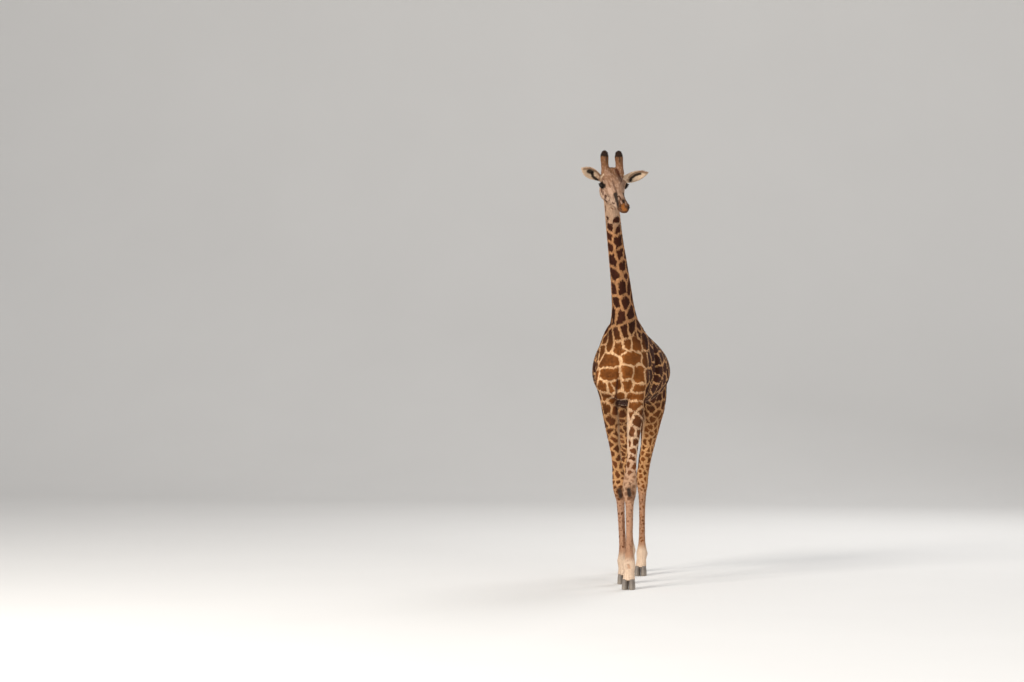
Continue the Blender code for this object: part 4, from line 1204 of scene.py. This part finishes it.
        # Lower legs, and the nearly bare skin on the inner sides of the legs
        low = 1 - ramp(z, 0.80, 1.10)
        shank = np.where(self.at("leg_hind")[:, None], HIND_SHANK, SHANK)
        ground = mixed(ground, shank, low)
        inner = np.where(self.at("leg_front_left", "leg_hind_left"), -nx, nx)
        bare = leg * ramp(inner - 0.25 * ny * left_front, 0.75, 1.0) * ramp(z, 1.30, 1.50)
        ground = mixed(ground, PALE, 0.4 * bare)
        self.patch -= 0.03 * bare
        # Belly, and the pale feet without patches
        belly = ramp(-nz, 0.80, 0.98) * ramp(z, 1.6, 1.8) * (1 - ramp(z, 1.95, 2.1))
        ground = mixed(ground, PALE, 0.7 * belly)
        ground = mixed(ground, PALE, 0.8 * (1 - ramp(z, 0.26, 0.35)))
        self.patch -= 0.02 * (1 - ramp(z, 0.28, 0.38))
        # Throat, pale and without patches at its top
        ahead = ramp(-ny, -0.2, 0.4)
        ground = mixed(ground, JAW_PALE, 0.7 * ahead * ramp(z, 3.52, 3.76))
        self.patch -= 0.06 * ahead * ramp(z, 3.67, 3.80)
        # The left foreleg about its knee, the left hind leg, and the foreleg's fainter patches further down
        ground = mixed(ground, SHANK, 0.6 * left_front * ramp(z, 0.80, 1.10) * (1 - ramp(z, 1.20, 1.45)))
        spot = mixed(spot, RUST, 0.5 * leg * self.at("leg_hind_left"))
        faint = 0.4 * left_front * (1 - ramp(z, 1.08, 1.20))
        spot = spot + (ground - spot) * faint[:, None]
        # Head, marks and tail
        head = self.at("head", "ear", "horn")
        face, hold = self.face()
        ground[head] = face[head]
        spot[head] = mixed(np.tile(CHOCOLATE, (head.sum(), 1)), face[head], np.full(head.sum(), 0.25))
        self.patch = np.where(head, self.patch - hold, self.patch)
        both = evened(np.hstack((ground, spot * shade[:, None])), self.ends, 1)
        marks = BODY_MARKS + FACE_MARKS + EAR_MARKS
        self.ground = self.drawn(both[:, :3], marks)
        self.spot = self.drawn(both[:, 3:], marks)
        tail = self.at("tail")
        self.ground[tail] = mixed(self.ground[tail], MANE, 0.5 + 0.5 * ramp(self.place[tail], 0.3, 0.9))

    def drawn(self, colours, marks):
        """The colours with the marks of the photograph over them, on skin that faces as theirs does."""
        for pixels, half, colour, strength, both in marks:
            line, ways = self.seen(pixels)
            if not len(line):
                continue
            line = self.in_head(line)
            out = unit((ways @ self.turned).mean(axis=0))
            for mirror in ((1, 1, 1), (-1, 1, 1))[:1 + both]:
                drawn = line * mirror
                reach = 2 * half
                near = within(self.local, drawn.min(axis=0) - reach, drawn.max(axis=0) + reach)
                away = line_distance(self.uneven[near], drawn) / half
                share = strength * ramp(self.facing[near] @ (out * mirror), *MARK_FACING)
                share *= 1 - ramp(away, *MARK_EDGE)
                colours[near] = mixed(colours[near], colour, share)
        return colours

    def face(self):
        """Colour of the head between its spots, and how far the spots are held back."""
        _, y, z = self.local.T
        face = np.tile(FACE, (len(z), 1))
        crown = ramp(z + 0.45 * y, 0.02, 0.12)
        face = mixed(face, CROWN_BROWN, crown)
        streaks = np.array([noise.noise(Vector(p) * 1.0) for p in self.local * (75, 14, 75)])
        face = mixed(face, FOREHEAD_BROWN, 0.45 * ramp(streaks, 0.05, 0.5))
        face = mixed(face, FACE_PALE, 0.40 * ramp(-streaks, 0.05, 0.5))
        throat = ramp(-z - 0.15 * y, 0.045, 0.12)
        face = mixed(face, JAW_PALE, 0.65 * throat)
        nose = ramp(-y, 0.27, 0.35)
        face = mixed(face, MUZZLE, nose)
        face = mixed(face, TAN, ramp(y, 0.12, 0.20) * (1 - crown))
        face = mixed(face, BLACK, 1 - ramp(self.eye_gap(), EYE_RADIUS + 0.010, EYE_RADIUS + 0.018))
        ahead = -self.facing[:, 1]
        hold = 0.014 + 0.02 * crown + 0.03 * nose - 0.010 * ramp(-z, 0.03, 0.09) * ramp(y, -0.25, -0.12)
        for side, word in SIDES:
            horn = self.at("horn_" + word)
            streak = np.exp(-((self.across + side * 0.006) / 0.009) ** 2) * ramp(ahead, 0.0, 0.4)
            dark = ramp(self.place + 0.05 * streaks, 0.74, 0.88)
            dark += 0.75 * streak * ramp(self.place, 0.30, 0.6)
            brown = mixed(face, HORN_BROWN, ramp(self.place, 0.15, 0.45) * (0.85 + 0.3 * streaks))
            brown = mixed(brown, BLACK, np.clip(dark, 0, 0.96))
            face = np.where(horn[:, None], brown, face)
            ear = self.at("ear_" + word)
            leaf = mixed(np.tile(TAN, (len(z), 1)), EAR_PALE, ramp(ahead, -0.1, 0.3))
            face = np.where(ear[:, None], leaf, face)
            hold = np.where(horn | ear, 0.05, hold)
        return face, hold

    def unwrap(self, corner):
        """Places of some points on the flat layout of the skin, which has one cell for each region."""
        row, column = np.divmod(self.region[corner], LAYOUT_COLUMNS)
        inner = 1 - 2 * LAYOUT_MARGIN
        across = (column + LAYOUT_MARGIN + inner * self.turn[corner]) / LAYOUT_COLUMNS
        up = (row + LAYOUT_MARGIN + inner * self.place[corner]) / LAYOUT_ROWS
        return np.stack((across, up), axis=1)


def set_attribute(mesh, name, kind, values):
    layer = mesh.attributes.new(name, kind, "POINT")
    key = "color" if kind == "FLOAT_COLOR" else "value"
    layer.data.foreach_set(key, np.ascontiguousarray(values, np.float32).ravel())


def set_markings(mesh, ground, spot, patch):
    """Stores the markings in the mesh, for the coat's material."""
    one = np.ones((len(patch), 1))
    set_attribute(mesh, "ground", "FLOAT_COLOR", np.hstack((ground, one)))
    set_attribute(mesh, "spot", "FLOAT_COLOR", np.hstack((spot, one)))
    set_attribute(mesh, "patch", "FLOAT", patch)


def strands(name, lines, side, halves, thicks, roots, marks=None):
    """A mesh of tapered tufts with three-sided sections, one to each line of points.

    lines is tufts by points by 3, side the way across each tuft, halves and thicks tufts by points,
    and roots the place of each tuft on the layout of the skin. The last point is the tip.
    """
    tufts, steps, _ = lines.shape
    rings = steps - 1
    along = unit(np.gradient(lines, axis=1))
    wide = beside(side[:, None, :], along)
    up = np.cross(along, wide)
    ring = np.stack((
        lines - wide * halves[:, :, None],
        lines + wide * halves[:, :, None],
        lines + up * thicks[:, :, None],
    ), axis=2)[:, :rings]
    each = rings * 3 + 1
    points = np.concatenate((ring.reshape(tufts, rings * 3, 3), lines[:, -1:, :]), axis=1)
    quads = []
    for k in range(rings - 1):
        for a, b in ((0, 1), (1, 2), (2, 0)):
            quads.append((3 * k + a, 3 * k + b, 3 * k + 3 + b, 3 * k + 3 + a))
    last = 3 * (rings - 1)
    ends = [(last + a, last + b, each - 1) for a, b in ((0, 1), (1, 2), (2, 0))]
    pattern = np.array([v for face in quads + ends for v in face])
    sizes = np.array([len(face) for face in quads + ends])
    starts = np.concatenate(((0,), np.cumsum(sizes)[:-1]))
    shift = np.arange(tufts)[:, None]
    corners = (pattern + shift * each).ravel()
    mesh = bpy.data.meshes.new(name)
    mesh.vertices.add(tufts * each)
    mesh.vertices.foreach_set("co", points.astype(np.float32).ravel())
    mesh.loops.add(len(corners))
    mesh.loops.foreach_set("vertex_index", corners.astype(np.int32))
    mesh.polygons.add(tufts * len(sizes))
    mesh.polygons.foreach_set("loop_start", (starts + shift * len(pattern)).astype(np.int32).ravel())
    mesh.update(calc_edges=True)
    mesh.shade_smooth()
    flat = np.zeros((each, 2))
    for k in range(rings):
        for a, (u, v) in enumerate(((-1, 0), (1, 0), (0, 0.4))):
            flat[3 * k + a] = u * (1 - 0.6 * k / rings), 2 * (k + v) / rings - 1
    flat[-1] = 0, 1
    layout = (roots[:, None, :] + LAYOUT_HALF * flat[None]).reshape(-1, 2)
    mesh.uv_layers.new(name="OFBake").data.foreach_set("uv", layout[corners].astype(np.float32).ravel())
    if marks:
        set_markings(mesh, *[np.repeat(values, each, axis=0) for values in marks])
    return new_object(name, mesh)


class Surface:
    """Random places on the skin, with all that the coat carries there."""

    def __init__(self, thing, coat):
        mesh = thing.data
        mesh.calc_loop_triangles()
        self.corners = fetched(mesh.loop_triangles, "vertices", 3, np.int32)
        self.coat = coat
        a, b, c = (coat.points[self.corners[:, k]] for k in range(3))
        self.area = np.linalg.norm(np.cross(b - a, c - a), axis=1) / 2

    def pick(self, weight, count, seed):
        """Indices and shares of corners for random places, more where the weight is high."""
        draw = np.random.default_rng(seed)
        chance = self.area * weight[self.corners].mean(axis=1)
        chosen = draw.choice(len(chance), count, p=chance / chance.sum())
        shares = draw.dirichlet((1, 1, 1), count)
        return self.corners[chosen], shares

    def take(self, values, picked):
        corners, shares = picked
        if values.ndim == 1:
            return (values[corners] * shares).sum(axis=1)
        return (values[corners] * shares[:, :, None]).sum(axis=1)


def short_coat(name, surface, weight, seed, length, half):
    """Thin tufts of short hair that lie along the skin, with its markings."""
    coat = surface.coat
    count = COAT_COUNTS[name]
    picked = surface.pick(weight, count, seed)
    draw = np.random.default_rng(seed + 100)
    root = surface.take(coat.points, picked)
    out = unit(surface.take(coat.normals, picked))
    way = surface.take(coat.lie, picked)
    way = beside(unit(way + draw.normal(0, 0.18, way.shape)), out)
    size = draw.uniform(0.75, 1.25, (count, 1))
    long = surface.take(length, picked)[:, None] * size
    wide = surface.take(half, picked)[:, None] * size
    middle = root + way * long * 0.5 + out * (long * COAT_LIFT)
    tip = root + way * long + out * (long * COAT_LIFT * 1.35)
    lines = np.stack((root - out * 0.0015, middle, tip), axis=1)
    halves = wide * np.array((1.0, 0.8, 0.0))
    layout = coat.unwrap(picked[0][:, 0])
    tone = draw.uniform(0.86, 1.16, (count, 1))
    marks = (surface.take(coat.ground, picked) * tone, surface.take(coat.spot, picked) * tone,
             surface.take(coat.patch, picked))
    return strands(name, lines, np.cross(out, way), halves, halves * 0.45, layout, marks)


def build_coat(surface):
    """The short coat, in pieces by region, longest on the trunk and shortest on face and feet."""
    coat = surface.coat
    z = coat.design[:, 2]
    head = coat.at("head")
    low = coat.at("leg") & (z < SHANK_TOP)
    sizes = np.tile(BODY_TUFT, (len(z), 1))
    sizes[low] = SHANK_TUFT
    sizes[coat.at("head", "ear", "horn")] = HEAD_TUFT
    length, half = sizes.T
    length[head & (coat.local[:, 1] < MUZZLE_START)] = MUZZLE_TUFT
    open_skin = (coat.eye_gap() > EYE_RADIUS + 0.009).astype(float)
    groups = {
        "coat_trunk": coat.at("trunk"),
        "coat_neck": coat.at("neck", "tail"),
        "coat_thighs": coat.at("leg") & ~low,
        "coat_front_shanks": low & coat.at("leg_front"),
        "coat_hind_shanks": low & coat.at("leg_hind"),
        "coat_head": head,
        "coat_ears": coat.at("ear", "horn"),
    }
    pieces = []
    for seed, (name, where) in enumerate(groups.items()):
        pieces.append(short_coat(name, surface, where * open_skin, seed, length, half))
    return pieces


def crest(tube, spot):
    """Place on the mane side of the neck, with the ways along it, outward and across."""
    index = min(int(spot), len(tube.middle) - 2)
    share = spot - index
    values = []
    for line in (tube.middle, tube.along, tube.across, tube.depth, tube.halves):
        values.append(line[index] * (1 - share) + line[index + 1] * share)
    middle, along, across, depth, halves = values
    return middle - depth * halves[2], unit(along), unit(-depth), unit(across)


def build_mane(tree):
    """Stiff upright hair along the crest from between the ears to the withers."""
    tube = neck_tube()
    first, last = MANE_SPAN[0], len(tube.middle) - MANE_SPAN[1]
    draw = np.random.default_rng(21)
    spots = np.sort(draw.uniform(first, last, MANE_COUNT))
    lines = []
    sides = []
    for spot in spots:
        place, along, out, across = crest(tube, spot)
        place = place + across * draw.normal(0, MANE_SCATTER)
        root = np.array(tree.find_nearest(Vector(place))[0])
        clump = noise.noise(Vector((spot * 3.1, 0, 5))) * 0.10
        ends = min(1, 0.35 + (spot - first) / 4.0, 0.25 + (last - spot) / 2.5)
        height = MANE_HEIGHT * ends * draw.uniform(0.86, 1.04) * (1 + clump)
        lean = draw.normal(0, 0.11)
        back = draw.normal(0.10, 0.12) + clump
        way = unit(out + across * lean - along * back)
        bend = -along * 0.16 + across * draw.normal(0, 0.06)
        lines.append([root - out * MANE_DEPTH + way * (height + MANE_DEPTH) * s + bend * height * s * s
                      for s in (0, 0.4, 0.75, 1)])
        sides.append(unit(along + across * draw.normal(0, 0.5)))
    halves = draw.uniform(0.0022, 0.0036, (MANE_COUNT, 1)) * np.array((0.9, 1, 0.7, 0))
    roots = np.stack((np.full(MANE_COUNT, 0.375), spots / len(tube.middle) / LAYOUT_ROWS), axis=1)
    return strands("mane", np.array(lines), np.array(sides), halves, halves * 0.5, roots)


def build_tassel():
    """Long black hair that hangs from the end of the tail, wavy and parted into locks."""
    draw = np.random.default_rng(31)
    top = np.array(BODY_FRAME @ Vector((0, TAIL[-1][0], TAIL[-1][1] + 0.03)))
    count = TASSEL_COUNT
    steps = 11
    shares = np.linspace(0, 1, steps)
    lines = np.zeros((count, steps, 3))
    sides = np.zeros((count, 3))
    locks = draw.uniform(0, 2 * math.pi, TASSEL_LOCKS)
    radii = [row[0] for row in TASSEL_PROFILE], [row[1] for row in TASSEL_PROFILE]
    for k in range(count):
        turn = locks[k % len(locks)] + draw.normal(0, 0.16)
        start = draw.uniform(0, 0.5) ** 1.4
        length = min(draw.uniform(0.45, 0.62), 0.99 - start)
        t = start + length * shares
        bulge = 0.55 + 0.9 * shares * (1.5 - shares)
        spread = np.interp(t, *radii) * (0.55 + 0.5 * draw.uniform()) * bulge
        wave = 0.10 * np.sin(14 * t + locks[k % len(locks)] * 5) + 0.02 * draw.normal()
        lines[k, :, 0] = top[0] + np.cos(turn + wave) * spread
        lines[k, :, 1] = top[1] + 0.01 * t + np.sin(turn + wave) * spread
        lines[k, :, 2] = top[2] - TASSEL_LENGTH * t
        sides[k] = (-math.sin(turn), math.cos(turn), 0)
    taper = np.interp(shares, (0, 0.3, 0.8, 1), (0.7, 1, 0.6, 0))
    halves = draw.uniform(0.0016, 0.0030, (count, 1)) * taper
    roots = np.stack((0.75 + 0.25 * draw.uniform(0.1, 0.9, count), draw.uniform(0.2, 0.3, count)), axis=1)
    return strands("tassel", lines, sides, halves, halves * 0.5, roots)


def tufts(name, surface, weight, kind, seed, way_of, marked):
    """Hair that stands out from the skin where the weight is high, each tuft bent back towards it.

    kind is how many tufts, their greatest length and their half width. way_of gives the way of each from
    the way out of the skin and the lie of the coat there.
    """
    coat = surface.coat
    count, longest, half = kind
    picked = surface.pick(weight, count, seed)
    draw = np.random.default_rng(seed + 1)
    root = surface.take(coat.points, picked)
    out = unit(surface.take(coat.normals, picked))
    way = unit(way_of(out, surface.take(coat.lie, picked)) + draw.normal(0, 0.15, out.shape))
    long = draw.uniform(0.55, 1.0, (count, 1)) * longest
    lines = [root - out * 0.002 + way * long * s - out * long * 0.2 * s * s for s in (0, 0.5, 1)]
    lines = np.stack(lines, axis=1)
    halves = np.full((count, 1), half) * np.array((1, 0.8, 0))
    marks = None
    if marked:
        marks = [surface.take(values, picked) for values in (coat.ground, coat.spot, coat.patch)]
    layout = coat.unwrap(picked[0][:, 0])
    return strands(name, lines, np.cross(way, out + 0.01), halves, halves * 0.5, layout, marks)


def build_horn_tips(surface):
    """Black tufts round the blunt ends of both horns."""
    coat = surface.coat
    weight = coat.at("horn") * ramp(coat.place, 0.72, 0.90)

    def upward(out, lie):
        return out + (0, 0, 0.9)

    return tufts("horn_tufts", surface, weight, HORN_TUFTS, 41, upward, False)


def build_ear_hair(surface):
    """Pale fringes in the cup of each ear."""
    coat = surface.coat
    weight = coat.at("ear") * ramp(-coat.deep, -0.006, 0.002) * ramp(coat.place, 0.2, 0.4)

    def along(out, lie):
        return lie + 0.4 * out

    return tufts("ear_hair", surface, weight, EAR_TUFTS, 51, along, True)


def build_lashes():
    """Dark lashes on the lids of both eyes, the upper ones longer and drooping."""
    draw = np.random.default_rng(61)
    lines = []
    for side, _ in SIDES:
        outward = np.array((side * math.cos(EYE_TURN), -math.sin(EYE_TURN), 0))
        for rise, count, long, droop in LASHES:
            line = np.array(lid_line(side, rise, count, EYE_RADIUS + LASH_GAP))
            for t, place in zip(np.linspace(-1, 1, count), line):
                root = place + draw.normal(0, 0.0006, 3)
                way = unit(outward + np.array((0, 0.5 * t, 0.25 * np.sign(rise))))
                size = long * draw.uniform(0.75, 1.1) * (1 - 0.4 * abs(t))
                fall = np.array((0, 0, droop))
                points = [root + way * size * s + fall * size * s * s for s in (-0.1, 0.35, 0.7, 1)]
                lines.append(carried(np.array(points), HEAD_FRAME))
    lines = np.array(lines)
    sides = np.tile(HEAD_FRAME.to_3x3().col[1], (len(lines), 1))
    halves = np.full((len(lines), 1), LASH_HALF) * np.array((1, 0.9, 0.6, 0))
    roots = np.full((len(lines), 2), 0.6) + draw.uniform(0, 0.02, (len(lines), 2))
    return strands("lashes", lines, sides, halves, halves * 0.6, roots)


def build_eye(side, word):
    """The ball of an eye, with the clear front a little raised."""
    mesh = bmesh.new()
    bmesh.ops.create_uvsphere(mesh, u_segments=48, v_segments=32, radius=EYE_RADIUS - 0.0003)
    for vert in mesh.verts:
        way = vert.co.normalized()
        vert.co += way * 0.0012 * max(0, way.z - 0.75) / 0.25
    thing = finished(mesh, "eyeball_" + word)
    turned = HEAD_FRAME.to_3x3()
    outward = (turned @ Vector((side * math.cos(EYE_TURN), -math.sin(EYE_TURN), -0.05))).normalized()
    level = turned @ Vector((0, -1, 0))
    across = (level - outward * level.dot(outward)).normalized()
    turn = Matrix((across, outward.cross(across), outward)).transposed()
    thing.matrix_world = Matrix.Translation(HEAD_FRAME @ Vector((side * EYE_SIDE, 0, 0))) @ turn.to_4x4()
    return thing


def build_hoof(name):
    """Two horny toes with a cleft between them, flat on the floor, with rounded edges."""
    hoof = BODY_FRAME @ Vector(LEGS[name][1][-1])
    wide = HOOF_WIDTHS["front" if "front" in name else "hind"]
    turns = np.linspace(0, 2 * math.pi, 48, endpoint=False)
    mesh = bmesh.new()
    for side in (1, -1):
        rings = []
        for z, spread, front, back in HOOF_LEVELS:
            ring = []
            for turn in turns:
                deep = front if math.cos(turn) > 0 else back
                reach = wide * spread * (0.5 + 0.5 * math.sin(turn)) ** 0.9
                x = side * (reach + 0.0012 if z > 0.02 else reach + 0.0022)
                ring.append(mesh.verts.new((hoof.x + x, hoof.y - 0.004 - deep * math.cos(turn), z)))
            rings.append(ring if side > 0 else ring[::-1])
        bridge(mesh, rings)
    bmesh.ops.recalc_face_normals(mesh, faces=mesh.faces)
    return finished(mesh, name.replace("leg", "toes"))


class Nodes:
    """Short way to write a material as nodes."""

    def __init__(self, name):
        self.material = bpy.data.materials.new(name)
        self.material.use_nodes = True
        self.tree = self.material.node_tree
        self.shader = self.tree.nodes["Principled BSDF"]

    def join(self, socket, value):
        """Links a value into a socket, or sets it there when it is a plain one."""
        if isinstance(value, bpy.types.NodeSocket):
            self.tree.links.new(value, socket)
        else:
            socket.default_value = (*value, 1) if socket.type == "RGBA" else value

    def add(self, kind, inputs=(), **settings):
        node = self.tree.nodes.new("ShaderNode" + kind)
        for key, value in settings.items():
            setattr(node, key, value)
        for key, value in dict(inputs).items():
            self.join(node.inputs[key], value)
        return node

    def place(self):
        return self.add("TexCoord").outputs["Object"]

    def axes(self):
        return self.add("SeparateXYZ", {0: self.place()}).outputs

    def noise(self, scale, detail=2, vector=None):
        inputs = {"Scale": scale, "Detail": detail, "Vector": vector or self.place()}
        return self.add("TexNoise", inputs).outputs["Fac"]

    def span(self, value, low, high, start=0, end=1):
        """A value carried from one range to another, held at its ends."""
        inputs = {"Value": value, "From Min": low, "From Max": high, "To Min": start, "To Max": end}
        return self.add("MapRange", inputs).outputs["Result"]

    def math(self, operation, a, b):
        return self.add("Math", {0: a, 1: b}, operation=operation).outputs[0]

    def mix(self, share, a, b, way="MIX"):
        inputs = {"Factor": share, 6: a, 7: b}
        return self.add("Mix", inputs, data_type="RGBA", blend_type=way).outputs[2]

    def stretched(self, x, y, z):
        return self.add("Mapping", {"Vector": self.place(), "Scale": (x, y, z)}).outputs["Vector"]

    def set(self, name, value):
        self.join(self.shader.inputs[name], value)

    def bump(self, height, distance, strength=1.0):
        inputs = {"Height": height, "Distance": distance, "Strength": strength}
        self.set("Normal", self.add("Bump", inputs).outputs["Normal"])


def coat_material():
    """Patches with uneven edges on a paler ground, with the streaks of short hair."""
    nodes = Nodes("coat")
    stored = [nodes.add("Attribute", attribute_name=name).outputs for name in ("ground", "spot", "patch")]
    ground, spot, patch = stored[0]["Color"], stored[1]["Color"], stored[2]["Fac"]
    coarse = nodes.span(nodes.noise(30, 3), 0.2, 0.8, -0.011, 0.011)
    fine = nodes.span(nodes.noise(110, 2), 0.2, 0.8, -0.005, 0.005)
    edge = nodes.math("ADD", nodes.math("ADD", patch, coarse), fine)
    inside = nodes.span(edge, -0.0020, 0.0025)
    deep = nodes.span(edge, 0.002, 0.045, 0.0, 0.30)
    centre = nodes.mix(deep, spot, PATCH_CENTRE)
    colour = nodes.mix(inside, ground, centre)
    hair = nodes.noise(1.0, 3, nodes.stretched(420, 260, 70))
    tone = nodes.span(hair, 0.25, 0.75, 0.78, 1.18)
    cloud = nodes.span(nodes.noise(5, 3), 0.3, 0.7, 0.90, 1.10)
    both = nodes.math("MULTIPLY", tone, cloud)
    grey = nodes.add("CombineColor", {0: both, 1: both, 2: both}).outputs[0]
    nodes.set("Base Color", nodes.mix(1.0, colour, grey, "MULTIPLY"))
    nodes.set("Roughness", nodes.span(hair, 0.2, 0.8, 0.60, 0.80))
    nodes.set("Specular IOR Level", 0.10)
    nodes.bump(hair, 0.0015, 0.7)
    return nodes.material


def hair_material(name, root, tip, low, high):
    """Coarse hair that changes from one colour to another with height, with pale and dark strands."""
    nodes = Nodes(name)
    fleck = nodes.noise(1.0, 2, nodes.stretched(160, 160, 18))
    colour = nodes.mix(nodes.span(nodes.axes()["Z"], low, high), root, tip)
    nodes.set("Base Color", nodes.mix(nodes.span(fleck, 0.35, 0.65, 0, 0.45), colour, MANE))
    nodes.set("Roughness", nodes.span(fleck, 0.2, 0.8, 0.45, 0.7))
    nodes.set("Specular IOR Level", 0.25)
    nodes.bump(fleck, 0.001, 0.4)
    return nodes.material


def eye_material():
    """A dark brown iris with a level pupil, under a wet clear front."""
    nodes = Nodes("eye")
    place = nodes.axes()
    x = nodes.math("MULTIPLY", place["X"], 1 / PUPIL[0])
    y = nodes.math("MULTIPLY", place["Y"], 1 / PUPIL[1])
    oval = nodes.math("ADD", nodes.math("MULTIPLY", x, x), nodes.math("MULTIPLY", y, y))
    pupil = nodes.span(oval, 0.85, 1.15)
    rays = nodes.noise(1.0, 3, nodes.stretched(900, 900, 200))
    iris = nodes.mix(rays, IRIS_DARK, IRIS_PALE)
    rim = nodes.span(place["Z"], 0.0145, 0.0185)
    iris = nodes.mix(rim, IRIS_RIM, iris)
    nodes.set("Base Color", nodes.mix(pupil, PUPIL_BLACK, iris))
    nodes.set("Roughness", 0.06)
    nodes.set("Coat Weight", 1.0)
    nodes.set("Coat Roughness", 0.02)
    return nodes.material


def hoof_material():
    """Dull grey horn with rings of growth, dusty near the floor."""
    nodes = Nodes("hoof")
    rings = nodes.noise(1.0, 3, nodes.stretched(9, 9, 260))
    dust = nodes.span(nodes.axes()["Z"], 0.0, 0.07, 0.6, 0.0)
    horn = nodes.mix(rings, HOOF_DARK, HOOF_PALE)
    nodes.set("Base Color", nodes.mix(dust, horn, DUST))
    nodes.set("Roughness", nodes.span(rings, 0.3, 0.7, 0.45, 0.7))
    nodes.bump(rings, 0.0012, 0.6)
    return nodes.material


def floor_material():
    nodes = Nodes("floor")
    nodes.set("Base Color", nodes.mix(nodes.noise(0.6, 2), FLOOR_DARK, FLOOR_PALE))
    nodes.set("Roughness", 0.8)
    return nodes.material


def dress(thing, material):
    """Gives a piece its material and slot, and lets it ride on the body."""
    thing.data.materials.clear()
    thing.data.materials.append(material)
    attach(thing, "root")


def build_stage():
    """A pale floor that curves up behind, soft light from the left of the camera, and the camera."""
    mesh = bmesh.new()
    profile = [(FLOOR_NEAR, 0)]
    for turn in np.linspace(0, math.pi / 2, 40):
        rise = BACKDROP_BEND * (1 - math.cos(turn))
        profile.append((BACKDROP_START + BACKDROP_BEND * math.sin(turn), rise))
    profile.append((BACKDROP_START + BACKDROP_BEND, BACKDROP_TOP))
    rows = [[mesh.verts.new((x, y, z)) for y, z in profile] for x in (-FLOOR_HALF, FLOOR_HALF)]
    for k in range(len(profile) - 1):
        mesh.faces.new((rows[0][k], rows[0][k + 1], rows[1][k + 1], rows[1][k]))
    floor = finished(mesh, "floor")
    floor.data.materials.append(floor_material())
    for name, (place, size, power, colour) in LAMPS.items():
        light = bpy.data.lights.new(name, "AREA")
        light.size = size
        light.energy = power
        light.color = colour
        lamp = new_object(name, light)
        lamp.location = place
        lamp.rotation_euler = (Vector(place) - Vector(LAMP_AIM)).to_track_quat("Z", "Y").to_euler()
    world = bpy.data.worlds.new("studio")
    world.use_nodes = True
    sky = world.node_tree.nodes["Background"].inputs
    sky["Color"].default_value = SKY_COLOUR
    sky["Strength"].default_value = SKY_LIGHT
    scene = bpy.context.scene
    scene.world = world
    scene.view_settings.view_transform = "Standard"
    lens = bpy.data.cameras.new("camera")
    lens.sensor_width = SENSOR
    lens.lens = PHOTO_LENS / PHOTO_WIDTH * SENSOR
    lens.clip_end = 200
    camera = new_object("camera", lens)
    camera.location = BODY_FRAME @ Vector(CAMERA_PLACE)
    tilt = math.atan2(PHOTO_HORIZON - PHOTO_HEIGHT / 2, PHOTO_LENS)
    camera.rotation_euler = (math.pi / 2 + tilt, 0, CAMERA_TURN)
    scene.camera = camera


def main():
    skin = build_skin()
    coat = Coat(skin)
    set_markings(skin.data, coat.ground, coat.spot, coat.patch)
    surface = Surface(skin, coat)
    fur = coat_material()
    for piece in [skin] + build_coat(surface) + [build_ear_hair(surface)]:
        dress(piece, fur)
    dress(build_mane(coat.tree), hair_material("mane", MANE, CHOCOLATE, 2.6, 4.2))
    black = hair_material("black_hair", BLACK, BLACK, 0, 1)
    tassel = build_tassel()
    dress(tassel, black)
    dress(build_horn_tips(surface), black)
    dress(build_lashes(), black)
    eyes = eye_material()
    for side, word in SIDES:
        ball = build_eye(side, word)
        dress(ball, eyes)
        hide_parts("eye_" + word)
    horn = hoof_material()
    for name in LEGS:
        toes = build_hoof(name)
        dress(toes, horn)
        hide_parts(name.replace("leg", "hoof"))
    flesh = [n for n in frame["nodes"] if n.startswith(("head", "neck", "torso", "leg", "ear", "horn"))]
    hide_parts("tail", *flesh)
    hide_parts("tail_tassel")
    build_stage()


main()
